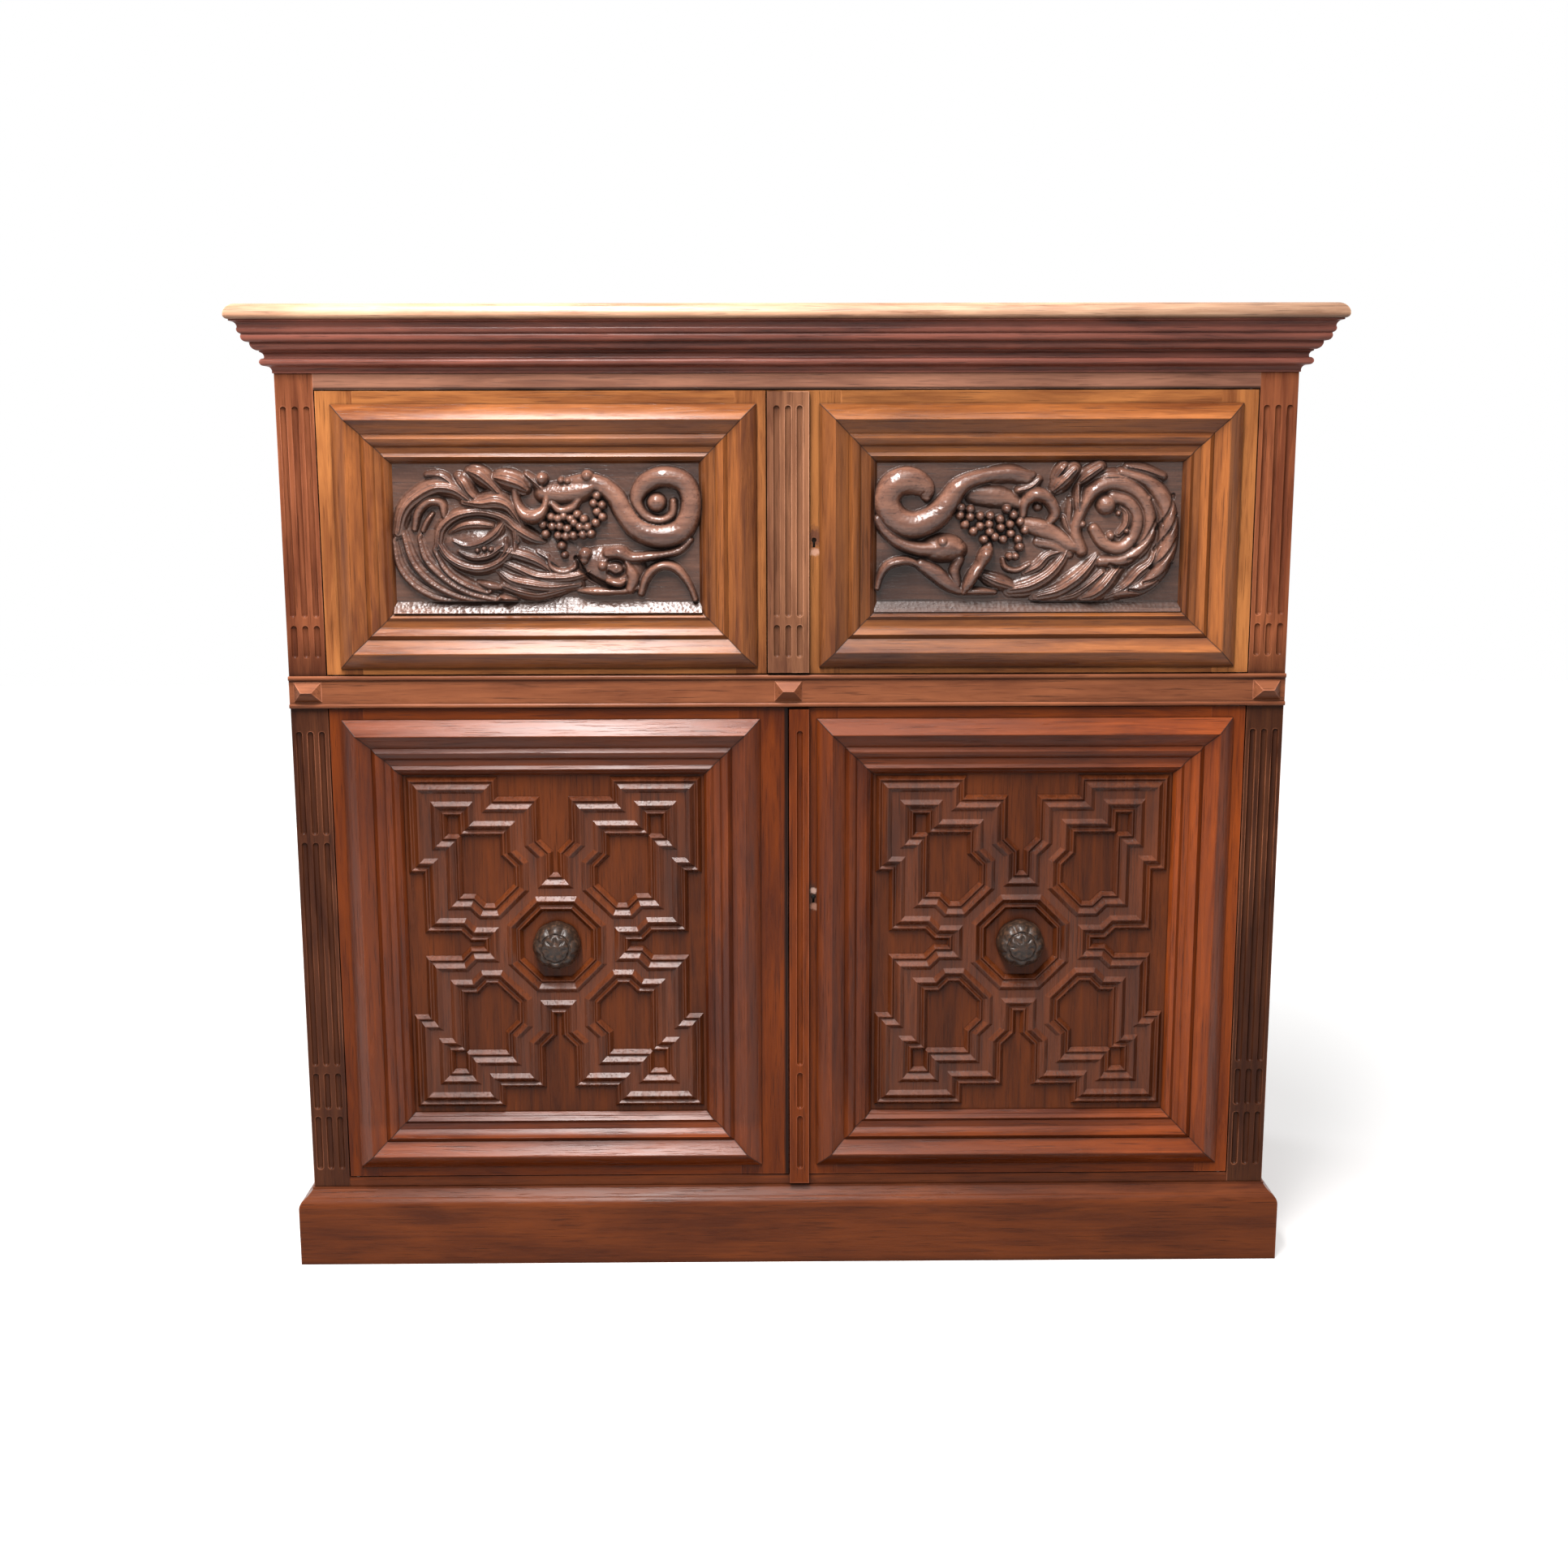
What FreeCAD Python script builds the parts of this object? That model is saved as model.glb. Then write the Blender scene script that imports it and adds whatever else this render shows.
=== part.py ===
import FreeCAD, Part
import math
import os

# Side cupboard: frame-and-panel carcase with two doors over two doors, under a nosed top and cornice.
# Millimetres: X to the right, Y into the depth, Z up, from the middle of the footprint on the floor.

# Overall sizes
body_width = 1210.0
body_depth = 456.0
top_thick = 18.0
top_overhang = 44.0
plinth_height = 98.0
plinth_thick = 17.0

# Heights between plinth and top, one above the other
ledge_above_plinth = 12.5
lower_opening_height = 602.5
mid_rail_height = 39.0
upper_opening_height = 339.0
frieze_height = 78.0

# Carcase timber
post_size = 45.0
rail_thick = 22.0
board_thick = 18.0
back_board_thick = 10.0
back_board_count = 8
back_board_gap = 0.6
back_rail_height = 69.0
side_top_rail_height = 94.0
side_mid_rail_height = 55.0
side_bottom_rail_above_plinth = 42.0
rail_foot = 40.0
bearer_size = 20.0
shelf_above_floor_board = 289.5
shelf_thick = 18.0
shelf_gap = 2.0
board_front_set_back = 0.5
board_bevel_deep = 1.0
board_bevel_high = 4.0

# Joinery
tenon_thick = 10.0
tenon_length = 20.0
tenon_shoulder = 8.0
mortise_end_gap = 0.5
front_tenon_set_back = 6.0
side_tenon_set_back = 6.0
panel_thick = 10.0
groove_depth = 8.0
panel_side_gap = 0.5
side_panel_set_back = 9.0
side_panel_thick = 12.0
side_field_border = 38.0
side_field_fall = 5.0

# Cornice, planted under the top
cornice_projection = 39.0
cornice_height = 59.0

# Band planted over posts and middle rail, with diamond blocks
band_rise = 5.0
band_bead = 5.0
band_bead_bulge = 1.2
band_field_set_back = 2.0
diamond_width = 34.0
diamond_height = 25.0
diamond_rise = 11.0
diamond_ridge = 13.0

# Flutes of posts and centre strips
flute_pitch = 13.8
flute_width = 7.6
flute_depth = 3.0
flute_count = 3
flute_land = 9.0
upper_flute_foot_gap = 21.0
upper_flute_foot_length = 40.0
upper_flute_top_gap = 19.0
lower_flute_foot_gap = 10.5
lower_flute_foot_length = 71.0
lower_flute_second_length = 48.0
lower_flute_broken_length = 129.0
lower_flute_top_gap = 29.0

# Door leaves
leaf_thick = 22.0
leaf_gap = 1.5
leaf_side_gap = 1.5
upper_ring_side_margin = 17.5
upper_ring_top_margin = 15.5
upper_ring_bottom_margin = 7.5
upper_left_ring_joint_margin = 11.0
upper_right_ring_strip_margin = 12.4
lower_ring_side_margin = 15.0
lower_ring_top_margin = 13.5
lower_ring_bottom_margin = 13.0
lower_ring_joint_margin = 34.0
leaf_tenon_length = 24.0
leaf_tenon_shoulder = 11.5

# Mitred bolection moulding of each leaf
ring_outer_width = 19.0
ring_inner_width = 50.5
ring_lap = 26.0
ring_rise = 17.0
panel_set_back = 8.0

# Fret of mitred bands on each lower panel
fret_rise = 8.6
fret_edge_gap_x = 3.5
fret_edge_gap_z = 5.0
fret_above_centre = 2.5

# Widths of the fret, as shares of the panel's smaller half
fret_band_share = 0.27
fret_channel_share = 0.029
fret_slot_share = 0.068
fret_tab_drop_share = 0.133
fret_step_share = 0.092
fret_neck_jog_share = 0.082
fret_arm_jog_share = 0.065

# Places along the fret, as shares of its corner's height and reach
fret_step_level_share = 0.618
fret_neck_level_share = 0.66
fret_arm_reach_share = 0.701

# Boss in the middle of each fret
boss_radius = 29.0
boss_rise = 33.0
boss_lobe_count = 8
boss_lobe_radius = 5.4
boss_lobe_ring = 24.5
boss_lobe_level = 7.0

# Fluted strips on the right-hand leaves
strip_rise = 7.0
strip_half_width = 25.0
strip_end_gap = 1.5
strip_drop = 10.0

# Pivots at the top and bottom of each leaf
pivot_from_edge = 9.0
pivot_from_front = 4.8
pivot_radius = 2.3
pivot_clearance = 0.05
pivot_length = 8.0
pivot_collar_radius = 3.1
pivot_seat = 0.05
pivot_plate_length = 34.0
pivot_plate_width = 6.4
pivot_plate_thick = 2.5
pivot_plate_end_gap = 1.0
pivot_end_gap = 0.5

# Locks in the right-hand leaves
upper_keyhole_from_joint = 56.0
upper_keyhole_above_leaf_foot = 160.5
lower_keyhole_from_joint = 29.8
lower_keyhole_above_leaf_foot = 363.0
keyhole_radius = 3.0
keyhole_slot = 3.0
keyhole_drop = 9.0
lock_height = 60.0
lock_thick = 10.0
lock_set_back = 6.0
lock_beyond_key = 11.0
lock_wall = 1.5
lock_fit = 0.2
lock_bolt_height = 14.0
lock_bolt_thick = 6.0
lock_bolt_length = 24.0
lock_bolt_fit = 0.1
lock_bolt_rise = 12.0
lock_bolt_travel = 8.0
strike_gap = 0.4

# Shoot bolts on the backs of the left-hand leaves
shoot_radius = 4.0
shoot_length = 92.0
shoot_from_joint = 20.0
shoot_plate_width = 24.0
shoot_plate_height = 80.0
shoot_plate_thick = 2.0
shoot_stand_off = 1.0
shoot_guide_wall = 2.0
shoot_guide_height = 12.0
shoot_guide_end = 8.0
shoot_fit = 0.08
shoot_rest_gap = 1.0
shoot_travel = 10.0
shoot_socket_gap = 0.4
shoot_knob_radius = 5.0
shoot_knob_reach = 4.0
shoot_knob_let_in = 1.5

# Cuts run this far past what they cut
overrun = 2.0

# Worked-out places
lower_opening_bottom = plinth_height + ledge_above_plinth
lower_opening_top = lower_opening_bottom + lower_opening_height
upper_opening_bottom = lower_opening_top + mid_rail_height
upper_opening_top = upper_opening_bottom + upper_opening_height
top_underside = upper_opening_top + frieze_height
overall_height = top_underside + top_thick
overall_depth = body_depth + top_overhang
half_width = body_width / 2
front_y = top_overhang - overall_depth / 2
back_y = front_y + body_depth
post_inner_x = half_width - post_size
ring_width = ring_outer_width + ring_inner_width
inner_side_x = half_width - rail_thick

# Outlines as shares: two numbers end a straight line, four pass through a point and end an arc
cornice_shares = [
    (1.0, 1.0), (1.0, 0.97), (0.845, 0.925, 0.81, 0.865), (0.81, 0.855), (0.815, 0.78, 0.73, 0.735),
    (0.73, 0.72), (0.725, 0.635, 0.615, 0.585), (0.54, 0.585), (0.54, 0.55), (0.47, 0.46, 0.32, 0.425),
    (0.32, 0.40), (0.225, 0.355, 0.22, 0.285), (0.22, 0.28), (0.335, 0.208, 0.22, 0.136),
    (0.155, 0.136), (0.067, 0.095, 0.04, 0.025), (0.04, 0.0), (0.0, 0.0),
]
plinth_shares = [
    (0.0, 1.0), (0.12, 1.0), (0.12, 0.975), (0.30, 0.93, 0.55, 0.885), (0.86, 0.835, 1.0, 0.755),
    (1.0, 0.0), (0.0, 0.0),
]
ring_outer_shares = [(0.0, 0.15), (0.50, 0.64, 0.95, 1.0), (1.0, 1.0)]
ring_inner_shares = [
    (0.0, 0.024), (0.158, 0.272, 0.307, 0.46), (0.307, 0.488), (0.416, 0.328),
    (0.523, 0.448, 0.604, 0.62), (0.604, 0.64), (0.752, 0.664), (0.832, 0.56), (0.917, 0.72),
    (0.917, 0.744), (0.929, 0.744), (1.0, 0.92), (1.0, 1.0),
]
fret_shares = [
    (0.0, 0.55), (0.20, 0.55), (0.40, 1.0), (0.44, 1.0), (0.66, 0.45), (0.70, 0.45), (0.79, 0.70),
    (0.83, 0.70), (1.0, 0.10), (1.0, 0.0),
]
boss_shares = [
    (1.0, 0.0), (1.0, 0.10), (0.97, 0.20, 0.86, 0.22), (0.76, 0.22), (0.70, 0.30),
    (0.66, 0.62, 0.36, 0.80),
    (0.36, 0.84), (0.28, 0.96, 0.10, 1.0), (0.0, 1.0),
]
nose_shares = [(0.0, 0.0), (0.90, 0.0), (0.978, 0.10, 1.0, 0.30), (0.907, 0.795, 0.68, 1.0), (0.0, 1.0)]


def vec(x, y, z):
    return FreeCAD.Vector(x, y, z)


def box(x0, x1, y0, y1, z0, z1):
    """A box between two corners, given in any order."""
    x0, x1 = sorted((x0, x1))
    y0, y1 = sorted((y0, y1))
    z0, z1 = sorted((z0, z1))
    return Part.makeBox(x1 - x0, y1 - y0, z1 - z0, vec(x0, y0, z0))


def polygon_face(points):
    return Part.Face(Part.makePolygon(list(points) + [points[0]]))


def outline(start, steps, put):
    """Edges through the steps. put turns a pair of outline numbers into a point in space."""
    edges = []
    here = put(*start)
    for step in steps:
        there = put(*step[-2:])
        if len(step) == 4:
            edges.append(Part.Arc(here, put(*step[:2]), there).toShape())
        elif there.distanceToPoint(here) > 0:
            edges.append(Part.LineSegment(here, there).toShape())
        here = there
    return edges


def closed_face(edges):
    """A face inside the edges, closed with a straight line where they leave off."""
    start = edges[0].firstVertex(True).Point
    end = edges[-1].lastVertex(True).Point
    if end.distanceToPoint(start) > 0:
        edges = edges + [Part.LineSegment(end, start).toShape()]
    return Part.Face(Part.Wire(edges))


def export(name, shapes):
    """One file for one node. Several solids share a node as a compound."""
    solids = [solid for shape in shapes for solid in shape.Solids]
    shape = solids[0] if len(solids) == 1 else Part.Compound(solids)
    shape.exportStep("parts/" + name + ".step")
    print(name, len(solids), "solids")


# Mouldings

def moulded_length(shares, start, reach, rise, base, out, along, mitre):
    """A length of planted moulding: its section pulled along the wall and cut to its mitres."""
    wall, run, far = base

    def put(u, v):
        return wall + out * (u * reach) + vec(0, 0, v * rise)

    section = closed_face(outline(start, shares, put))
    length = section.extrude(along * run)
    cutter = polygon_face(mitre).extrude(vec(0, 0, far))
    return length.common(cutter)


def planted_run(shares, start, reach, rise, level):
    """Front and two returns of a moulding round the carcase, mitred at the front corners."""
    run = 2 * (half_width + reach)
    depth = body_depth + reach
    left, right = -half_width, half_width
    front = moulded_length(
        shares, start, reach, rise, (vec(-run / 2, front_y, level), run, rise),
        vec(0, -1, 0), vec(1, 0, 0),
        [vec(left, front_y, level), vec(right, front_y, level),
         vec(right + reach, front_y - reach, level), vec(left - reach, front_y - reach, level)])
    returns = []
    for side in (-1, 1):
        wall = side * half_width
        tip = wall + side * reach
        returns.append(moulded_length(
            shares, start, reach, rise, (vec(wall, front_y - reach, level), depth, rise),
            vec(side, 0, 0), vec(0, 1, 0),
            [vec(wall, front_y, level), vec(wall, back_y, level), vec(tip, back_y, level),
             vec(tip, front_y - reach, level)]))
    return front, returns


def ring_section(corner, inward):
    """Section of the bolection moulding: over the frame's face, then down to the panel."""
    lift = vec(0, -1, 0)

    def outer(u, v):
        return corner + inward * (u * ring_outer_width) + lift * (v * ring_rise)

    def inner(u, v):
        fall = ring_rise - v * (ring_rise + panel_set_back)
        return corner + inward * (ring_outer_width + u * ring_inner_width) + lift * fall

    edges = outline((0.0, 0.0), ring_outer_shares, outer)
    edges += outline((0.0, 0.0), ring_inner_shares, inner)
    heel = corner + inward * ring_lap
    back = [inner(1.0, 1.0), heel - lift * panel_set_back, heel]
    edges += [Part.LineSegment(a, b).toShape() for a, b in zip(back, back[1:])]
    return closed_face(edges)


def ring_moulding(x0, x1, z0, z1, face_y):
    """Four mitred lengths of bolection moulding round a rectangle."""
    outer = [vec(x0, face_y, z0), vec(x1, face_y, z0), vec(x1, face_y, z1), vec(x0, face_y, z1)]
    w = ring_width
    inner = [vec(x0 + w, face_y, z0 + w), vec(x1 - w, face_y, z0 + w),
             vec(x1 - w, face_y, z1 - w), vec(x0 + w, face_y, z1 - w)]
    inward = [vec(0, 0, 1), vec(-1, 0, 0), vec(0, 0, -1), vec(1, 0, 0)]
    lengths = []
    for i in range(4):
        j = (i + 1) % 4
        pull = outer[j] - outer[i]
        section = ring_section(outer[i], inward[i])
        mitre = [p - vec(0, ring_rise + overrun, 0) for p in (outer[i], outer[j], inner[j], inner[i])]
        cutter = polygon_face(mitre).extrude(vec(0, ring_rise + panel_set_back + 2 * overrun, 0))
        lengths.append(section.extrude(pull).common(cutter))
    return lengths


# Flutes

def flute(x, y, z0, z1):
    """A round groove with round ends, standing in the face at y and cut back into it."""
    radius = (flute_width ** 2 / 4 + flute_depth ** 2) / (2 * flute_depth)
    centre_y = y + flute_depth - radius
    low, high = z0 + radius, z1 - radius
    groove = Part.makeCylinder(radius, high - low, vec(x, centre_y, low), vec(0, 0, 1))
    ends = [Part.makeSphere(radius, vec(x, centre_y, z)) for z in (low, high)]
    return groove.fuse(ends)


def flute_spans(foot, top, lengths):
    """Foot and top of each piece of a flute: the given lengths from the foot, then the rest to the top."""
    spans = []
    for length in lengths:
        spans.append((foot, foot + length))
        foot += length + flute_land
    return spans + [(foot, top)]


def broken_span(foot, top):
    """The long piece of a flute, broken once more near its top."""
    lands = top - lower_flute_broken_length
    return [(foot, lands - flute_land), (lands, top)]


upper_spans = flute_spans(
    upper_opening_bottom + upper_flute_foot_gap, upper_opening_top - upper_flute_top_gap,
    [upper_flute_foot_length])
lower_spans = flute_spans(
    lower_opening_bottom + lower_flute_foot_gap, lower_opening_top - lower_flute_top_gap,
    [lower_flute_foot_length, lower_flute_second_length])
broken_spans = lower_spans[:-1] + broken_span(*lower_spans[-1])


def flutes(centre_x, y, spans, columns):
    middle = (flute_count - 1) / 2
    return [flute(centre_x + (i - middle) * flute_pitch, y, z0, z1) for i in columns for z0, z1 in spans]


# Carcase

def side_tenon_x(side):
    """Outer and inner faces of the side rails' tenons."""
    outer = half_width - side_tenon_set_back
    return side * (outer - tenon_thick), side * outer


def post(side, front):
    """A corner post, mortised for the rails, grooved for the side panels, and fluted at the front."""
    near, far = (front_y, front_y + post_size) if front else (back_y - post_size, back_y)
    body = box(side * post_inner_x, side * half_width, near, far, 0, top_underside)
    cuts = []
    inner_end = side * (post_inner_x + tenon_length + mortise_end_gap)
    y0, y1 = cross_tenon_y(front)
    for z0, z1 in cross_rail_levels(front):
        cuts.append(box(side * post_inner_x, inner_end, y0, y1, z0 + tenon_shoulder, z1 - tenon_shoulder))
    x0, x1 = side_tenon_x(side)
    mouth = far if front else near
    deep = tenon_length + mortise_end_gap
    end = mouth - deep if front else mouth + deep
    for z0, z1 in side_rail_levels():
        cuts.append(box(x0, x1, mouth, end, z0 + tenon_shoulder, z1 - tenon_shoulder))
    gx0, gx1 = side_panel_x(side)
    slot = mouth - groove_depth if front else mouth + groove_depth
    for z0, z1 in side_panel_levels():
        cuts.append(box(gx0, gx1, mouth, slot, z0 - groove_depth, z1 + groove_depth))
    if front:
        centre = side * (half_width - post_size / 2)
        spans = broken_spans if side < 0 else lower_spans
        cuts += flutes(centre, front_y, upper_spans + spans, range(flute_count))
    return body.cut(cuts)


def cross_tenon_y(front):
    """Depth range of the tenons of the front or back rails."""
    if front:
        return front_y + front_tenon_set_back, front_y + front_tenon_set_back + tenon_thick
    near = back_y - back_board_thick - rail_thick + front_tenon_set_back
    return near, near + tenon_thick


def cross_rail_levels(front):
    """Bottom and top of each rail that runs across, in the front or in the back."""
    bottom_top = lower_opening_bottom - board_thick
    if front:
        return [(rail_foot, bottom_top), (lower_opening_top, upper_opening_bottom),
                (upper_opening_top, top_underside)]
    return [(rail_foot, bottom_top), (top_underside - back_rail_height, top_underside)]


def side_rail_levels():
    middle = (lower_opening_top + upper_opening_bottom) / 2
    return [(rail_foot, plinth_height + side_bottom_rail_above_plinth),
            (middle - side_mid_rail_height / 2, middle + side_mid_rail_height / 2),
            (top_underside - side_top_rail_height, top_underside)]


def side_panel_levels():
    """Sight height of the lower and the upper side panel."""
    rails = side_rail_levels()
    return [(rails[0][1], rails[1][0]), (rails[1][1], rails[2][0])]


def side_panel_x(side):
    outer = half_width - side_panel_set_back
    return side * (outer - side_panel_thick), side * outer


def cross_rail(z0, z1, front):
    """A rail between two posts, with a tenon at each end."""
    near = front_y if front else back_y - back_board_thick - rail_thick
    rail = box(-post_inner_x, post_inner_x, near, near + rail_thick, z0, z1)
    y0, y1 = cross_tenon_y(front)
    reach = post_inner_x + tenon_length
    return rail.fuse(box(-reach, reach, y0, y1, z0 + tenon_shoulder, z1 - tenon_shoulder))


def side_rail(side, z0, z1, groove_below, groove_above):
    """A side rail tenoned into the posts and grooved for the panels."""
    y0, y1 = front_y + post_size, back_y - post_size
    rail = box(side * inner_side_x, side * half_width, y0, y1, z0, z1)
    x0, x1 = side_tenon_x(side)
    low, high = z0 + tenon_shoulder, z1 - tenon_shoulder
    rail = rail.fuse(box(x0, x1, y0 - tenon_length, y1 + tenon_length, low, high))
    gx0, gx1 = side_panel_x(side)
    if groove_below:
        rail = rail.cut(box(gx0, gx1, y0 - tenon_length, y1 + tenon_length, z0, z0 + groove_depth))
    if groove_above:
        rail = rail.cut(box(gx0, gx1, y0 - tenon_length, y1 + tenon_length, z1 - groove_depth, z1))
    return rail


def side_panel(side, z0, z1):
    """A fielded panel: thick in the middle, bevelled to a tongue at its edges, held in the grooves."""
    tongue = groove_depth - panel_side_gap
    y0, y1 = front_y + post_size - tongue, back_y - post_size + tongue
    x0, x1 = side_panel_x(side)
    board = box(x0, x1, y0, y1, z0 - tongue, z1 + tongue)
    outer_x = side * (half_width - side_panel_set_back)
    rings = []
    for border, rise in ((0, 0), (side_field_border, side_field_fall)):
        inset = tongue + border
        corners = [(y0 + inset, z0 + border), (y1 - inset, z0 + border),
                   (y1 - inset, z1 - border), (y0 + inset, z1 - border)]
        points = [vec(outer_x + side * rise, y, z) for y, z in corners]
        rings.append(Part.makePolygon(points + [points[0]]))
    return board.fuse(Part.makeLoft(rings, True, True))


def pivot_axis(side):
    """Where a leaf's pins stand, for the leaf hung on that side."""
    return side * (post_inner_x - leaf_side_gap - pivot_from_edge), front_y + pivot_from_front


def pivot_plate(side, z0, z1):
    """A small plate round a pin's axis, lying along the opening."""
    x, y = pivot_axis(side)
    outer = side * (post_inner_x - leaf_side_gap - pivot_plate_end_gap)
    inner = outer - side * pivot_plate_length
    return box(inner, outer, y - pivot_plate_width / 2, y + pivot_plate_width / 2, z0, z1)


def opening_levels():
    return {
        "lower": (lower_opening_bottom, lower_opening_top),
        "upper": (upper_opening_bottom, upper_opening_top),
    }


def frame_pivots(side, which):
    """Bottom pin, with a collar that carries the leaf, and top pin, on plates let into the frame."""
    x, y = pivot_axis(side)
    low, high = opening_levels()[which]
    reach = leaf_gap + pivot_length
    foot = pivot_plate(side, low - pivot_plate_thick, low)
    pin = Part.makeCylinder(pivot_radius, reach, vec(x, y, low), vec(0, 0, 1))
    collar = Part.makeCylinder(pivot_collar_radius, leaf_gap - pivot_seat, vec(x, y, low), vec(0, 0, 1))
    foot = foot.fuse([pin, collar])
    head = pivot_plate(side, high, high + pivot_plate_thick)
    head = head.fuse(Part.makeCylinder(pivot_radius, reach, vec(x, y, high - reach), vec(0, 0, 1)))
    return [foot, head]


def plate_pockets(which, at_top):
    """Pockets in a rail or board for the pivot plates of both leaves."""
    low, high = opening_levels()[which]
    z0, z1 = (high, high + pivot_plate_thick) if at_top else (low - pivot_plate_thick, low)
    return [pivot_plate(side, z0, z1) for side in (-1, 1)]


def notched_board(z0, z1, near_y, far_y, notch_front):
    """A board from side to side, cut round the posts."""
    board = box(-inner_side_x, inner_side_x, near_y, far_y, z0, z1)
    cuts = []
    for side in (-1, 1):
        outer = side * inner_side_x
        inner = side * post_inner_x
        if notch_front:
            cuts.append(box(inner, outer, near_y, front_y + post_size, z0, z1))
        cuts.append(box(inner, outer, back_y - post_size, far_y, z0, z1))
    return board.cut(cuts)


def make_bottom_board():
    """Floor of the lower cupboard. Its worn front arris shows as a narrow ledge below the doors."""
    z0, z1 = lower_opening_bottom - board_thick, lower_opening_bottom
    near = front_y + board_front_set_back
    board = notched_board(z0, z1, near, back_y - back_board_thick, True)
    bevel = polygon_face([vec(-half_width, near, z1), vec(-half_width, near + board_bevel_deep, z1),
                          vec(-half_width, near, z1 - board_bevel_high)])
    cuts = [bevel.extrude(vec(body_width, 0, 0))] + plate_pockets("lower", False)
    cuts.append(shoot_socket("lower"))
    return board.cut(cuts)


def make_mid_board():
    """Floor of the upper cupboard, behind the middle rail."""
    z1 = upper_opening_bottom
    board = notched_board(z1 - board_thick, z1, front_y + rail_thick, back_y - back_board_thick, True)
    return board.cut(shoot_socket("upper"))


def make_back_boards():
    span = 2 * post_inner_x - (back_board_count - 1) * back_board_gap
    width = span / back_board_count
    boards = []
    for i in range(back_board_count):
        x = -post_inner_x + i * (width + back_board_gap)
        boards.append(box(x, x + width, back_y - back_board_thick, back_y, rail_foot, top_underside))
    return boards


def make_bearers():
    """Strips between front and back posts that carry the middle board and the shelf."""
    y0, y1 = front_y + post_size, back_y - post_size
    bearers = []
    for side in (-1, 1):
        for top in (upper_opening_bottom - board_thick, lower_opening_bottom + shelf_above_floor_board):
            inner = side * (inner_side_x - bearer_size)
            bearers.append(box(inner, side * inner_side_x, y0, y1, top - bearer_size, top))
    return bearers


def make_shelf():
    y0, y1 = front_y + post_size + shelf_gap, back_y - post_size - shelf_gap
    reach = inner_side_x - shelf_gap
    level = lower_opening_bottom + shelf_above_floor_board
    return box(-reach, reach, y0, y1, level, level + shelf_thick)


def make_top_board():
    """The top board, with its rounded nose along the front and both ends."""
    front, returns = planted_run(nose_shares[1:], nose_shares[0], top_overhang, top_thick, top_underside)
    core = box(-half_width, half_width, front_y, back_y, top_underside, overall_height)
    return core.fuse([front] + returns).removeSplitter()


def make_mid_band():
    """The band across posts and middle rail, with a bead along both edges."""
    foot, head = lower_opening_top, upper_opening_bottom
    field = band_rise - band_field_set_back
    crest = band_rise + band_bead_bulge

    def put(out, z):
        return vec(-half_width, front_y - out, z)

    steps = [
        (band_rise, foot), (crest, foot + band_bead / 2, band_rise, foot + band_bead),
        (field, foot + band_bead), (field, head - band_bead), (band_rise, head - band_bead),
        (crest, head - band_bead / 2, band_rise, head), (0, head),
    ]
    return closed_face(outline((0, foot), steps, put)).extrude(vec(body_width, 0, 0))


def make_diamond_blocks():
    """Hipped blocks on the band, over the posts and over the centre."""
    face = front_y - band_rise + band_field_set_back
    z = (lower_opening_top + upper_opening_bottom) / 2
    blocks = []
    for x in (-(half_width - post_size / 2), 0, half_width - post_size / 2):
        x0, x1 = x - diamond_width / 2, x + diamond_width / 2
        z0, z1 = z - diamond_height / 2, z + diamond_height / 2
        base = [vec(x0, face, z0), vec(x1, face, z0), vec(x1, face, z1), vec(x0, face, z1)]
        tip = face - diamond_rise
        ridge = [vec(x - diamond_ridge / 2, tip, z), vec(x + diamond_ridge / 2, tip, z)]
        faces = [
            polygon_face(base[::-1]),
            polygon_face([base[0], base[1], ridge[1], ridge[0]]),
            polygon_face([base[2], base[3], ridge[0], ridge[1]]),
            polygon_face([base[1], base[2], ridge[1]]),
            polygon_face([base[3], base[0], ridge[0]]),
        ]
        blocks.append(solid_of(faces))
    return blocks


def solid_of(faces):
    """A solid from faces that meet edge to edge."""
    shell = Part.makeShell(faces)
    shell.sewShape()
    solid = Part.makeSolid(shell)
    if solid.Volume < 0:
        solid.reverse()
    return solid


# Doors

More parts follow.
